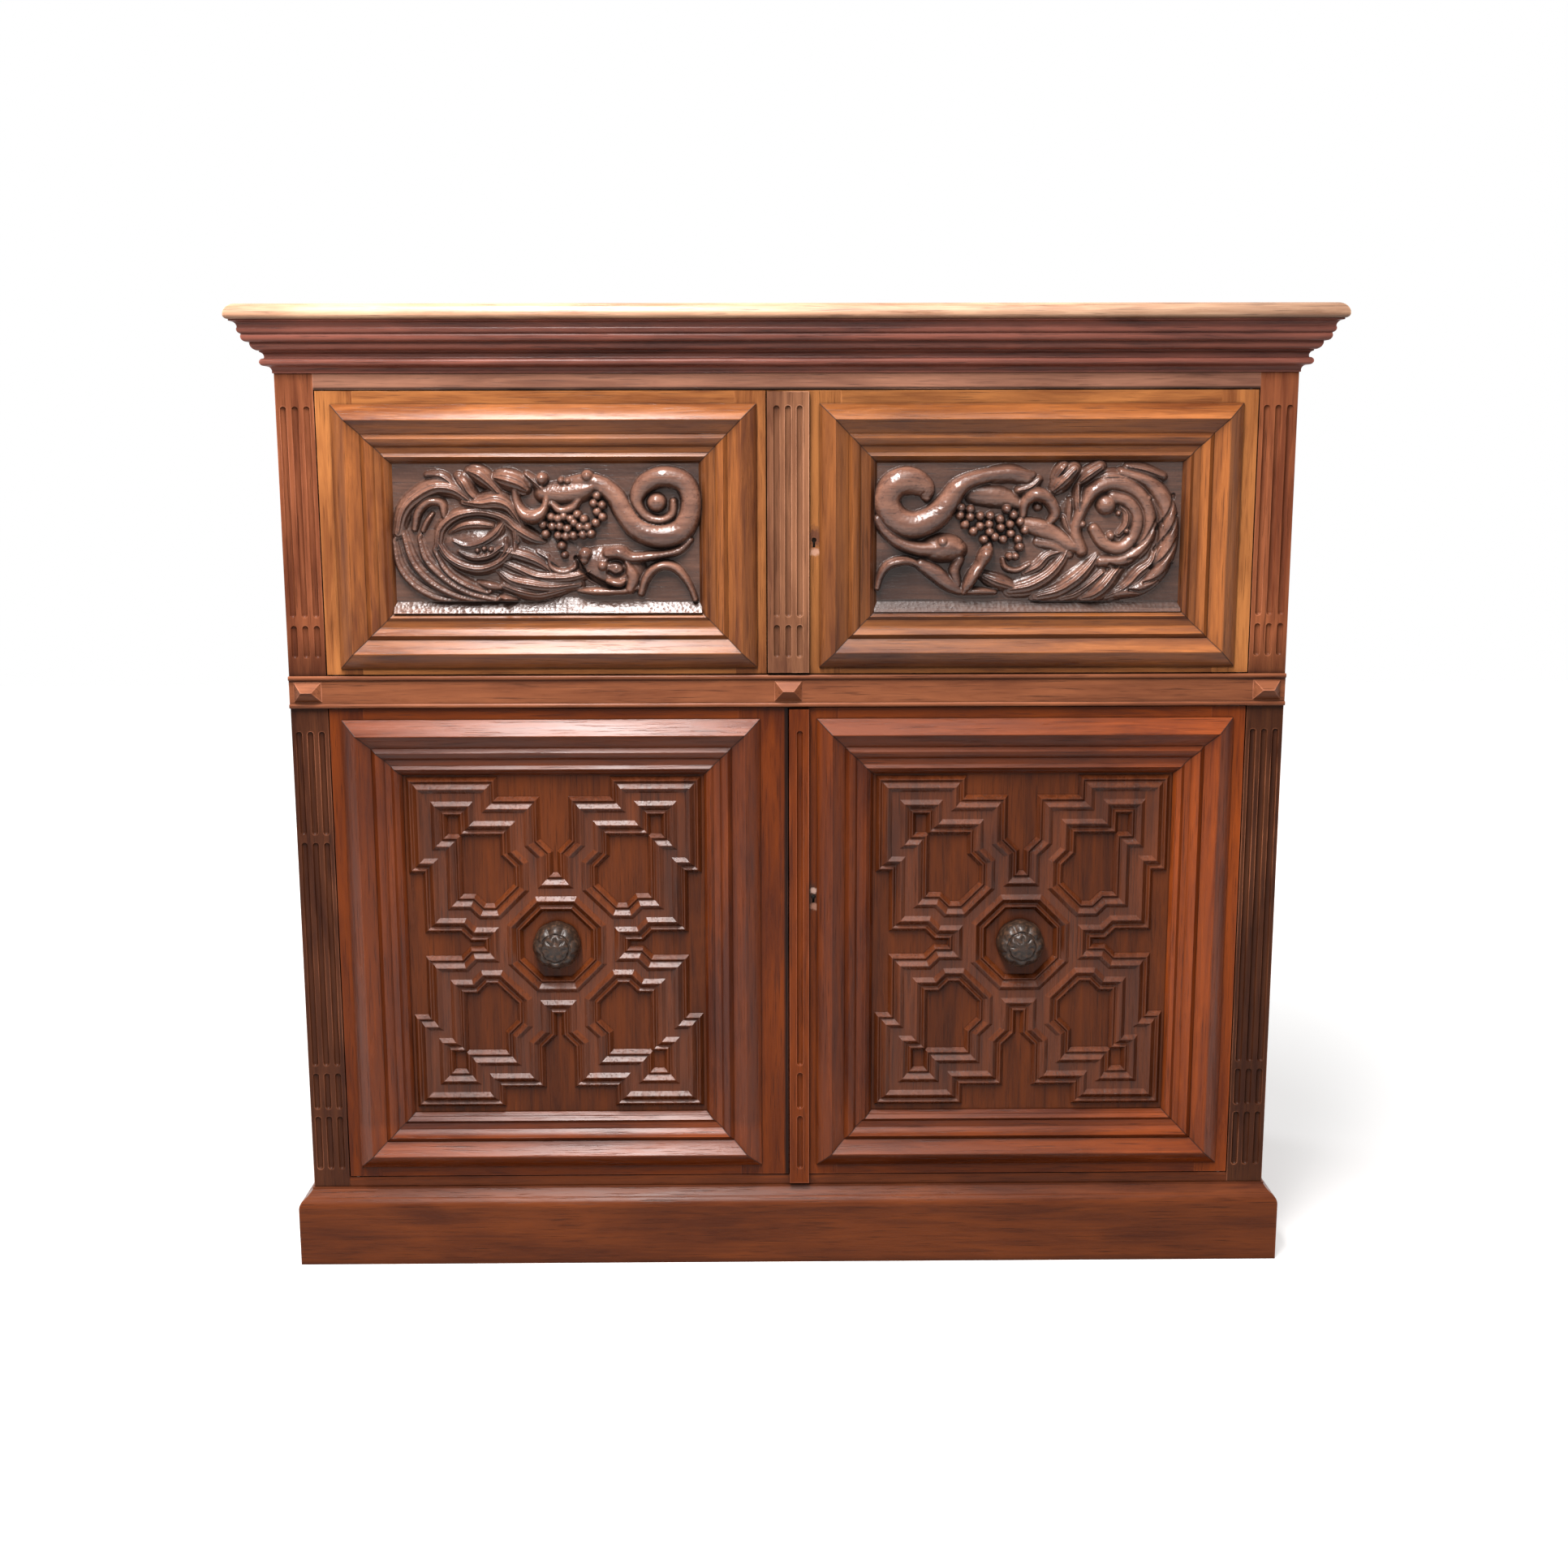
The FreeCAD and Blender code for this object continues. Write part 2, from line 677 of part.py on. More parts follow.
class Leaf:
    """Sizes and places of one leaf. side is -1 where it hangs on the left post, 1 on the right."""

    def __init__(self, which, side):
        self.which = which
        self.side = side
        low, high = opening_levels()[which]
        self.z0, self.z1 = low + leaf_gap, high - leaf_gap
        joint = -strip_half_width - leaf_gap / 2 if which == "upper" else 0
        self.joint_x = joint + side * leaf_gap / 2
        self.hinge_x = side * (post_inner_x - leaf_side_gap)
        if which == "upper":
            margins = (upper_ring_side_margin, upper_ring_top_margin, upper_ring_bottom_margin)
            joint_margin = upper_left_ring_joint_margin
            if side > 0:
                joint_margin = 2 * strip_half_width + upper_right_ring_strip_margin
        else:
            margins = (lower_ring_side_margin, lower_ring_top_margin, lower_ring_bottom_margin)
            joint_margin = lower_ring_joint_margin
        side_margin, top_margin, bottom_margin = margins
        self.ring_hinge_x = self.hinge_x - side * side_margin
        self.ring_joint_x = self.joint_x + side * joint_margin
        self.ring_z0 = self.z0 + bottom_margin
        self.ring_z1 = self.z1 - top_margin
        self.bolts_left = side < 0

    def ring_x(self):
        return sorted((self.ring_hinge_x, self.ring_joint_x))

    def sight(self):
        """Lowest and highest x and z of the opening inside the leaf's frame."""
        x0, x1 = self.ring_x()
        return x0 + ring_lap, x1 - ring_lap, self.ring_z0 + ring_lap, self.ring_z1 - ring_lap

    def panel_sight(self):
        """Lowest and highest x and z of the panel inside the moulding."""
        x0, x1 = self.ring_x()
        return x0 + ring_width, x1 - ring_width, self.ring_z0 + ring_width, self.ring_z1 - ring_width

    def fret_centre(self):
        """Middle of the fret on the panel's face, a little above the panel's own middle."""
        x0, x1, z0, z1 = self.panel_sight()
        return vec((x0 + x1) / 2, front_y + panel_set_back, (z0 + z1) / 2 + fret_above_centre)


def tenon_levels(leaf):
    x0, x1, z0, z1 = leaf.sight()
    low = (leaf.z0 + leaf_tenon_shoulder, z0 - groove_depth)
    high = (z1 + groove_depth, leaf.z1 - leaf_tenon_shoulder)
    return [low, high]


def leaf_tenon_y():
    near = front_y + panel_set_back
    return near, near + tenon_thick


def make_stiles(leaf):
    """The two uprights of a leaf: grooved, mortised, and let in for pivots, lock or strike."""
    x0, x1, z0, z1 = leaf.sight()
    if leaf.side > 0:
        x0, x1 = x1, x0
    y0, y1 = front_y, front_y + leaf_thick
    ty0, ty1 = leaf_tenon_y()
    stiles = []
    for outer, inner in ((leaf.hinge_x, x0), (leaf.joint_x, x1)):
        toward = 1 if outer > inner else -1
        body = box(outer, inner, y0, y1, leaf.z0, leaf.z1)
        cuts = [box(inner, inner + toward * groove_depth, ty0, ty1, z0 - groove_depth, z1 + groove_depth)]
        deep = inner + toward * (leaf_tenon_length + mortise_end_gap)
        cuts += [box(inner, deep, ty0, ty1, a, b) for a, b in tenon_levels(leaf)]
        if outer == leaf.hinge_x:
            cuts += leaf_plate_pockets(leaf) + pivot_bores(leaf)
        else:
            cuts += joint_stile_cuts(leaf)
        stiles.append(body.cut(cuts))
    return stiles


def leaf_plate_pockets(leaf):
    return [pivot_plate(leaf.side, leaf.z0, leaf.z0 + pivot_plate_thick),
            pivot_plate(leaf.side, leaf.z1 - pivot_plate_thick, leaf.z1)]


def pivot_bores(leaf):
    """Running holes for the two pins, in plate and wood alike."""
    x, y = pivot_axis(leaf.side)
    radius = pivot_radius + pivot_clearance
    deep = pivot_length + pivot_end_gap
    return [Part.makeCylinder(radius, deep, vec(x, y, leaf.z0), vec(0, 0, 1)),
            Part.makeCylinder(radius, deep, vec(x, y, leaf.z1 - deep), vec(0, 0, 1))]


def make_pivot_sockets(leaf):
    return [plate.cut(pivot_bores(leaf)) for plate in leaf_plate_pockets(leaf)]


def make_rails(leaf):
    """The two cross rails of a leaf, grooved, with tenons into the stiles."""
    x0, x1, z0, z1 = leaf.sight()
    y0, y1 = front_y, front_y + leaf_thick
    ty0, ty1 = leaf_tenon_y()
    rails = []
    levels = ((leaf.z0, z0), (z1, leaf.z1))
    mouths = ((z0 - groove_depth, z0), (z1, z1 + groove_depth))
    for (a, b), (low, high), mouth in zip(tenon_levels(leaf), levels, mouths):
        rail = box(x0, x1, y0, y1, low, high)
        rail = rail.fuse(box(x0 - leaf_tenon_length, x1 + leaf_tenon_length, ty0, ty1, a, b))
        rails.append(rail.cut(box(x0, x1, ty0, ty1, *mouth)))
    return rails


def make_panel(leaf):
    """The flat panel in the grooves of the leaf's frame, behind the moulding."""
    x0, x1, z0, z1 = leaf.sight()
    tongue = groove_depth - panel_side_gap
    near = front_y + panel_set_back
    return box(x0 - tongue, x1 + tongue, near, near + panel_thick, z0 - tongue, z1 + tongue)


def make_moulding(leaf):
    x0, x1 = leaf.ring_x()
    return ring_moulding(x0, x1, leaf.ring_z0, leaf.ring_z1, front_y)


# Fret

def fret_corner(half_x, half_z):
    """Centre line of the band round one corner field, as points right of and above the panel's centre.

    The first two points are the ends of the side that the field shares with the middle octagon."""
    unit = min(half_x, half_z)
    band = fret_band_share * unit
    half_side = (band + fret_channel_share * unit) / 2
    reach = half_side / math.tan(math.pi / 8)
    outer_x = half_x - fret_edge_gap_x - band / 2
    outer_z = half_z - fret_edge_gap_z - band / 2
    tab_x = outer_x - band - fret_slot_share * unit
    tab_z = outer_z - fret_tab_drop_share * unit
    neck_jog = fret_neck_jog_share * unit
    neck_x = half_side + neck_jog
    neck_z = fret_neck_level_share * outer_z
    step_x = outer_x - fret_step_share * unit
    step_z = fret_step_level_share * outer_z
    arm_jog = fret_arm_jog_share * unit
    arm_x = fret_arm_reach_share * outer_x
    arm_z = half_side + arm_jog
    return [
        (reach, half_side), (half_side, reach), (half_side, neck_z - neck_jog), (neck_x, neck_z),
        (neck_x, tab_z), (tab_x, tab_z), (tab_x, outer_z), (outer_x, outer_z),
        (outer_x, step_z), (step_x, step_z), (step_x, arm_z), (arm_x, arm_z),
        (arm_x - arm_jog, half_side),
    ]


def fret_lines(half_x, half_z):
    """All centre lines: four corner loops, and the octagon's sides between them."""
    corner = fret_corner(half_x, half_z)
    lines = []
    for sx in (-1, 1):
        for sz in (-1, 1):
            loop = [(sx * x, sz * z) for x, z in corner]
            lines += list(zip(loop, loop[1:] + loop[:1]))
    for s in (-1, 1):
        lines.append(((s * corner[0][0], -corner[0][1]), (s * corner[0][0], corner[0][1])))
        lines.append(((-corner[1][0], s * corner[1][1]), (corner[1][0], s * corner[1][1])))
    return lines


def next_line(lines_from, a, b):
    """The line that bounds the same field after a to b: the first one clockwise from b back to a."""
    back = math.atan2(a[1] - b[1], a[0] - b[0])

    def turn(c):
        angle = math.atan2(c[1] - b[1], c[0] - b[0])
        return (back - angle) % (2 * math.pi) or 2 * math.pi

    return min(lines_from[b], key=turn)


def mitre_vector(a, b, c):
    """How far the mitre at b moves for each unit of offset to the left of a-b and b-c."""
    first = vec(b[0] - a[0], 0, b[1] - a[1]).normalize()
    second = vec(c[0] - b[0], 0, c[1] - b[1]).normalize()
    left_first = vec(-first.z, 0, first.x)
    left_second = vec(-second.z, 0, second.x)
    return (left_first + left_second) * (1 / (1 + left_first.dot(left_second)))


def make_fret(leaf):
    """The fret of mitred bands: each centre line carries half a section on either side of it."""
    x0, x1, z0, z1 = leaf.panel_sight()
    centre = leaf.fret_centre()
    half_x, half_z = (x1 - x0) / 2, (z1 - z0) / 2
    half_band = fret_band_share * min(half_x, half_z) / 2
    lines = fret_lines(half_x, half_z)
    lines_from = {}
    for a, b in lines:
        lines_from.setdefault(a, []).append(b)
        lines_from.setdefault(b, []).append(a)
    before = {}
    for a in lines_from:
        for b in lines_from[a]:
            before[(b, next_line(lines_from, a, b))] = a

    def section(at, mitre):
        foot = centre + vec(at[0], 0, at[1])
        return [foot + mitre * (s * half_band) - vec(0, h * fret_rise, 0) for s, h in fret_shares]

    faces = []
    for (a, b), earlier in before.items():
        start = section(a, mitre_vector(earlier, a, b))
        end = section(b, mitre_vector(a, b, next_line(lines_from, a, b)))
        for i in range(len(start) - 1):
            faces.append(polygon_face([start[i], end[i], end[i + 1], start[i + 1]]))
        foot_a, foot_b = centre + vec(a[0], 0, a[1]), centre + vec(b[0], 0, b[1])
        faces.append(polygon_face([foot_a, start[-1], end[-1], foot_b]))
    return solid_of(faces)


def make_boss(leaf):
    """A turned boss with a ring of lobes, on the panel in the middle of the fret."""
    x0, x1, z0, z1 = leaf.panel_sight()
    centre = leaf.fret_centre()

    def put(u, v):
        return centre + vec(u * boss_radius, -v * boss_rise, 0)

    edges = outline((0.0, 0.0), boss_shares, put)
    body = closed_face(edges).revolve(centre, vec(0, 1, 0), 360)
    lobes = []
    for i in range(boss_lobe_count):
        angle = 2 * math.pi * i / boss_lobe_count
        across, up = boss_lobe_ring * math.cos(angle), boss_lobe_ring * math.sin(angle)
        lobes.append(Part.makeSphere(boss_lobe_radius, centre + vec(across, -boss_lobe_level, up)))
    lobes = Part.Compound(lobes).common(box(x0, x1, front_y - boss_rise, centre.y, z0, z1))
    return body.fuse(lobes.Solids)


# Strips, locks and bolts

def make_upper_strip(leaf):
    """The fluted pilaster that stands on the right-hand upper leaf and covers the centre."""
    z0, z1 = leaf.z0 + strip_end_gap, leaf.z1 - strip_end_gap
    body = box(leaf.joint_x, strip_half_width, front_y - strip_rise, front_y, z0, z1)
    return body.cut(flutes(0, front_y - strip_rise, upper_spans, range(flute_count)))


def make_lower_strip(leaf):
    """The half pilaster on the right-hand lower leaf, with the one flute that clears the joint."""
    z0, z1 = leaf.z0 - strip_drop, leaf.z1 - strip_end_gap
    body = box(leaf.joint_x, strip_half_width, front_y - strip_rise, front_y, z0, z1)
    return body.cut(flutes(0, front_y - strip_rise, lower_spans, [flute_count - 1]))


def keyhole_place(leaf):
    if leaf.which == "upper":
        return leaf.joint_x + upper_keyhole_from_joint, leaf.z0 + upper_keyhole_above_leaf_foot
    return leaf.joint_x + lower_keyhole_from_joint, leaf.z0 + lower_keyhole_above_leaf_foot


def keyhole(leaf, y0, y1):
    """A round hole with a slot below it, right through from y0 to y1."""
    x, z = keyhole_place(leaf)
    hole = Part.makeCylinder(keyhole_radius, y1 - y0, vec(x, y0, z), vec(0, 1, 0))
    return hole.fuse(box(x - keyhole_slot / 2, x + keyhole_slot / 2, y0, y1, z - keyhole_drop, z))


def lock_box(leaf, grow):
    """The space of the lock's case, from the leaf's edge to behind the keyhole."""
    x, z = keyhole_place(leaf)
    near = front_y + lock_set_back
    return box(leaf.joint_x, x + lock_beyond_key + grow, near - grow, near + lock_thick + grow,
               z - lock_height / 2 - grow, z + lock_height / 2 + grow)


def bolt_box(leaf, out, grow):
    """The lock bolt's space, pushed out past the leaf's edge by the given length."""
    x, z = keyhole_place(leaf)
    middle = front_y + lock_set_back + lock_thick / 2
    half = lock_bolt_thick / 2 + grow
    z0 = z + lock_bolt_rise - lock_bolt_height / 2 - grow
    z1 = z + lock_bolt_rise + lock_bolt_height / 2 + grow
    return box(leaf.joint_x - out, leaf.joint_x + lock_bolt_length, middle - half, middle + half, z0, z1)


def joint_stile_cuts(leaf):
    """Keyhole and lock mortise on a right-hand leaf, strike mortise on a left-hand one."""
    if leaf.bolts_left:
        partner = Leaf(leaf.which, 1)
        reach = leaf_gap + lock_bolt_travel + strike_gap
        return [bolt_box(partner, reach, strike_gap)]
    return [lock_box(leaf, lock_fit), keyhole(leaf, front_y, front_y + lock_set_back)]


def make_lock_case(leaf):
    """The lock's case: a thin box, open at its fore edge for the bolt, with its own keyhole."""
    outer = lock_box(leaf, 0)
    x, z = keyhole_place(leaf)
    near = front_y + lock_set_back
    reach = lock_height / 2 - lock_wall
    inner = box(leaf.joint_x + lock_wall, x + lock_beyond_key - lock_wall,
                near + lock_wall, near + lock_thick - lock_wall, z - reach, z + reach)
    mouth = bolt_box(leaf, 0, lock_bolt_fit)
    return outer.cut([inner, mouth, keyhole(leaf, near, near + lock_wall)])


def make_lock_bolt(leaf):
    return bolt_box(leaf, 0, 0)


def shoot_axis(leaf):
    """Where the shoot bolt stands behind a left-hand leaf."""
    y = front_y + leaf_thick + shoot_plate_thick + shoot_stand_off + shoot_radius
    return leaf.joint_x + leaf.side * shoot_from_joint, y


def shoot_socket(which):
    """The hole in the board below that takes the shoot bolt."""
    leaf = Leaf(which, -1)
    x, y = shoot_axis(leaf)
    deep = shoot_travel - shoot_rest_gap - leaf_gap + shoot_socket_gap
    top = opening_levels()[which][0]
    return Part.makeCylinder(shoot_radius + shoot_socket_gap, deep, vec(x, y, top - deep), vec(0, 0, 1))


def make_shoot_bolt(leaf):
    """A round bolt with a finger knob, drawn up at rest."""
    x, y = shoot_axis(leaf)
    foot = leaf.z0 + shoot_rest_gap
    rod = Part.makeCylinder(shoot_radius, shoot_length, vec(x, y, foot), vec(0, 0, 1))
    knob_z = foot + shoot_length / 2
    knob_y = y + shoot_radius - shoot_knob_let_in
    knob = Part.makeCylinder(shoot_knob_radius, shoot_knob_reach, vec(x, knob_y, knob_z), vec(0, 1, 0))
    return rod.fuse(knob)


def make_shoot_plate(leaf):
    """The bolt's plate on the leaf's back, with two guides round the bolt."""
    x, y = shoot_axis(leaf)
    back = front_y + leaf_thick
    foot = leaf.z0 + shoot_guide_end
    half = shoot_plate_width / 2
    face = back + shoot_plate_thick
    plate = box(x - half, x + half, back, face, foot, foot + shoot_plate_height)
    bore = shoot_radius + shoot_fit
    wall = bore + shoot_guide_wall
    guides = []
    for z in (foot, foot + shoot_plate_height - shoot_guide_height):
        guides.append(box(x - wall, x + wall, face, y + wall, z, z + shoot_guide_height))
    run = Part.makeCylinder(bore, shoot_plate_height, vec(x, y, foot), vec(0, 0, 1))
    return plate.fuse(guides).cut(run)


# All nodes

def make_carcase():
    for side, word in ((-1, "left"), (1, "right")):
        export("front_post_" + word, [post(side, True)])
        export("back_post_" + word, [post(side, False)])
        rails = [side_rail(side, z0, z1, i > 0, i < 2) for i, (z0, z1) in enumerate(side_rail_levels())]
        export("side_rails_" + word, rails)
        export("side_panels_" + word, [side_panel(side, z0, z1) for z0, z1 in side_panel_levels()])
    low, middle, high = [cross_rail(z0, z1, True) for z0, z1 in cross_rail_levels(True)]
    export("bottom_rail", [low])
    export("mid_rail", [middle.cut(plate_pockets("upper", False) + plate_pockets("lower", True))])
    export("frieze_rail", [high.cut(plate_pockets("upper", True))])
    export("back_rails", [cross_rail(z0, z1, False) for z0, z1 in cross_rail_levels(False)])
    export("back_boards", make_back_boards())
    export("bottom_board", [make_bottom_board()])
    export("mid_board", [make_mid_board()])
    export("shelf", [make_shelf()])
    export("bearers", make_bearers())
    export("top_board", [make_top_board()])
    front, returns = planted_run(
        cornice_shares, (0.0, 1.0), cornice_projection, cornice_height, top_underside - cornice_height)
    export("cornice_front", [front])
    export("cornice_returns", returns)
    front, returns = planted_run(plinth_shares, (0.0, 0.0), plinth_thick, plinth_height, 0)
    export("plinth_front", [front])
    export("plinth_returns", returns)
    export("mid_band", [make_mid_band()])
    export("diamond_blocks", make_diamond_blocks())
    pivots = []
    for which in ("lower", "upper"):
        for side in (-1, 1):
            pivots += frame_pivots(side, which)
    export("door_pivots", pivots)


def make_door(which, side):
    leaf = Leaf(which, side)
    name = which + ("_left_" if side < 0 else "_right_")
    export(name + "stiles", make_stiles(leaf))
    export(name + "rails", make_rails(leaf))
    export(name + "moulding", make_moulding(leaf))
    export(name + "panel", [make_panel(leaf)])
    export(name + "pivot_sockets", make_pivot_sockets(leaf))
    if which == "lower":
        export(name + "fret", [make_fret(leaf)])
        export(name + "boss", [make_boss(leaf)])
    if side < 0:
        export(name + "shoot_bolt", [make_shoot_bolt(leaf)])
        export(name + "shoot_plate", [make_shoot_plate(leaf)])
    else:
        export(name + "lock_case", [make_lock_case(leaf)])
        export(name + "lock_bolt", [make_lock_bolt(leaf)])
        strip = make_upper_strip(leaf) if which == "upper" else make_lower_strip(leaf)
        export(name + "centre_strip", [strip])


os.makedirs("parts", exist_ok=True)
make_carcase()
for level in ("lower", "upper"):
    for hand in (-1, 1):
        make_door(level, hand)
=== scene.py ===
# %% [markdown]
# # An old side cupboard in waxed hardwood
# Four panelled doors, two above two, in a fluted frame under a moulded cornice.
# The joiner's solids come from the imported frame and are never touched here. This lesson gives them their
# waxed wood, carves the two upper panels, turns the bosses and sets up camera and light.

# %% Load the frame
import math
import bpy
import numpy as np
from mathutils import Matrix, Vector


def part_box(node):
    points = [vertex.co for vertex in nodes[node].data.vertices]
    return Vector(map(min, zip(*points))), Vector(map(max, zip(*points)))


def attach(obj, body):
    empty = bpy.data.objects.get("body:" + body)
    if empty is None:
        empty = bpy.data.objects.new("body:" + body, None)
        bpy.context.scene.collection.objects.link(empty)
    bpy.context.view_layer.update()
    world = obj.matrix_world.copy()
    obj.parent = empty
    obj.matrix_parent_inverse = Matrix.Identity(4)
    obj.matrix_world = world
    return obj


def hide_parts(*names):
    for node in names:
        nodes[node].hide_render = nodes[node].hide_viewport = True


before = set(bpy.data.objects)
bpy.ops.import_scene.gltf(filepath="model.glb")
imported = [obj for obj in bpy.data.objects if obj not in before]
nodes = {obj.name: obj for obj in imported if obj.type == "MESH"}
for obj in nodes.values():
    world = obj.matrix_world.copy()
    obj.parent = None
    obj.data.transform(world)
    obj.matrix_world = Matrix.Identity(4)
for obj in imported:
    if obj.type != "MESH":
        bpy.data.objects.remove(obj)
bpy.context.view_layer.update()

print("solids to dress:", len(nodes))

# %% [markdown]
# ## A short way to write node trees
# Wood is built from many small texture nodes. Wiring them one link at a time hides the idea, so one helper
# makes a node, and takes numbers, colours or other nodes' outputs for its inputs. The others are what every
# material here shares.

# %% Helpers: shader nodes, and putting an object into the scene
def add_node(tree, kind, inputs=None, output=0, **settings):
    """Make a shader node, fill its inputs by name or number, and return one of its outputs, if it has any."""
    node = tree.nodes.new("ShaderNode" + kind)
    for name, value in settings.items():
        setattr(node, name, value)
    for key, value in (inputs or {}).items():
        if isinstance(value, bpy.types.NodeSocket):
            tree.links.new(value, node.inputs[key])
        else:
            node.inputs[key].default_value = value
    return node.outputs[output] if node.outputs else None


def math_node(tree, operation, *values, clamp=False):
    """A sum, product, comparison and so on, of numbers or outputs."""
    return add_node(tree, "Math", dict(enumerate(values)), operation=operation, use_clamp=clamp)


def times(tree, first, second):
    """A product of two numbers or outputs."""
    return math_node(tree, "MULTIPLY", first, second)


def minus(tree, first, second):
    """First less second."""
    return math_node(tree, "SUBTRACT", first, second)


def blend_colour(tree, factor, first, second, mode="MIX"):
    """Colour between first and second by factor, or another blend of the two."""
    return add_node(tree, "Mix", {0: factor, 6: first, 7: second}, output=2,
                    data_type="RGBA", blend_type=mode, clamp_factor=True)


def remap(tree, value, low, high, new_low=0.0, new_high=1.0):
    """Stretch the range low..high to new_low..new_high, and hold it there."""
    return add_node(tree, "MapRange", {0: value, 1: low, 2: high, 3: new_low, 4: new_high})


def object_place(tree):
    """The place of the point shaded, in the object's own metres."""
    return add_node(tree, "TexCoord", output="Object")


def noise(tree, place, scale, detail, rough=0.5, warp=0.0, stretch=1.0):
    """Cloudy noise with about scale spots a metre; a stretch under 1 draws them out along the third axis."""
    if stretch != 1.0:
        place = add_node(tree, "Mapping", {"Vector": place, "Scale": (1.0, 1.0, stretch)})
    return add_node(tree, "TexNoise", {
        "Vector": place, "Scale": scale, "Detail": detail, "Roughness": rough, "Distortion": warp})


def scale_colour(tree, colour, factor):
    """Multiply a colour by a number or an output."""
    grey = add_node(tree, "CombineXYZ", {0: factor, 1: factor, 2: factor})
    return blend_colour(tree, 1.0, colour, grey, mode="MULTIPLY")


def set_bump(tree, shader, height, distance, strength):
    """Tilt the shaded surface as a height of 0 to 1, worth distance in metres, would."""
    bump = add_node(tree, "Bump", {"Height": height, "Distance": distance, "Strength": strength})
    tree.links.new(bump, shader.inputs["Normal"])


def new_material(name):
    """A material with its node tree and its main shader."""
    material = bpy.data.materials.new(name)
    material.use_nodes = True
    return material, material.node_tree, material.node_tree.nodes["Principled BSDF"]


def add_to_scene(name, data):
    """An object that holds a mesh, a lamp or a camera."""
    added = bpy.data.objects.new(name, data)
    bpy.context.scene.collection.objects.link(added)
    return added


def mesh_piece(name, points, faces, smooth=0):
    """A mesh object from an array of points and a list of faces; its first smooth faces are shaded smooth."""
    mesh = bpy.data.meshes.new(name)
    mesh.from_pydata(points.reshape(-1, 3).tolist(), [], faces)
    mesh.polygons.foreach_set("use_smooth", [True] * smooth + [False] * (len(faces) - smooth))
    mesh.validate()
    return add_to_scene(name, mesh)

# %% [markdown]
# ## Which way the grain runs
# A plank's streaks run along its length. Stiles and posts stand, rails lie, and in a mitred frame of
# moulding the streaks turn at each mitre. All of that is worked out from the place of the point shaded, so
# the solids need no unwrapping. Round a mitred frame, a point belongs to an upright length where it is
# nearer to the left or right outer edge than to the top or bottom one.

# %% Helper: coordinates that run along the grain
mitre_line, mitre_reach, mitre_dirt = 0.0004, 0.0016, 0.85


def grain_coordinates(tree, run, frame_of=None):
    """Object coordinates turned so that the grain runs along the third axis, and a mitre's dark joint line.

    run is the axis of the grain, or "ring" for a mitred frame round the box of the node frame_of. The dark
    line is full within mitre_line of the mitre and gone at mitre_reach."""
    place = object_place(tree)
    x, y, z = (add_node(tree, "SeparateXYZ", {0: place}, output=i) for i in range(3))
    if run == "z":
        return place, None
    lying = add_node(tree, "CombineXYZ", {0: z, 1: y, 2: x})
    if run == "x":
        return lying, None
    if run == "y":
        return add_node(tree, "CombineXYZ", {0: x, 1: z, 2: y}), None
    low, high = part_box(frame_of)
    middle, half = (low + high) / 2, (high - low) / 2
    off_x = math_node(tree, "ABSOLUTE", minus(tree, x, middle.x))
    off_z = math_node(tree, "ABSOLUTE", minus(tree, z, middle.z))
    beyond = minus(tree, minus(tree, off_x, half.x), minus(tree, off_z, half.z))
    upright = math_node(tree, "GREATER_THAN", beyond, 0.0)
    turned = add_node(tree, "Mix", {0: upright, 4: lying, 5: place}, output=1, data_type="VECTOR")
    mitre = remap(tree, math_node(tree, "ABSOLUTE", beyond), mitre_line, mitre_reach, mitre_dirt, 0.0)
    return turned, mitre

# %% [markdown]
# ## Waxed wood
# Three layers of noise make the figure: broad light and dark boards, streaks a few millimetres wide that are
# stretched along the grain, and short dark pores. The colour is darkened in corners and grooves, found by
# ambient occlusion: this is painted shade, and stands for old wax and dust there too. Hands and cloths wear
# the outer edges down to paler wood, and those are found by comparing the true normal with one rounded over
# by two millimetres. The wax is dull enough to spread a lamp's reflection into a soft band.

# %% Helper: the wood material
edge_rounding = 0.0022
figure_spread = 0.30 / 1.4
joint_edge, joint_shadow = 0.0008, 0.0030
joint_tone, darkest_board, palest_board = 0.35, 0.70, 1.20
pore_start, pore_full, pore_dark, pore_depth = 0.57, 0.68, 0.6, 0.5
boards_weight, streaks_weight = 1.1, 0.9
# Painted shade in corners and grooves, with wax and dust: its tone, its greatest share, and how much it dulls
# the wax.
shade_and_dirt_tone, most_shade_and_dirt, dirt_dulls = 0.12, 0.88, 0.35
shine_below, shine_above = 0.05, 0.08
grain_depth, grain_strength = 0.0005, 0.4
board_shift = 0.73
gouge_flats = 210.0


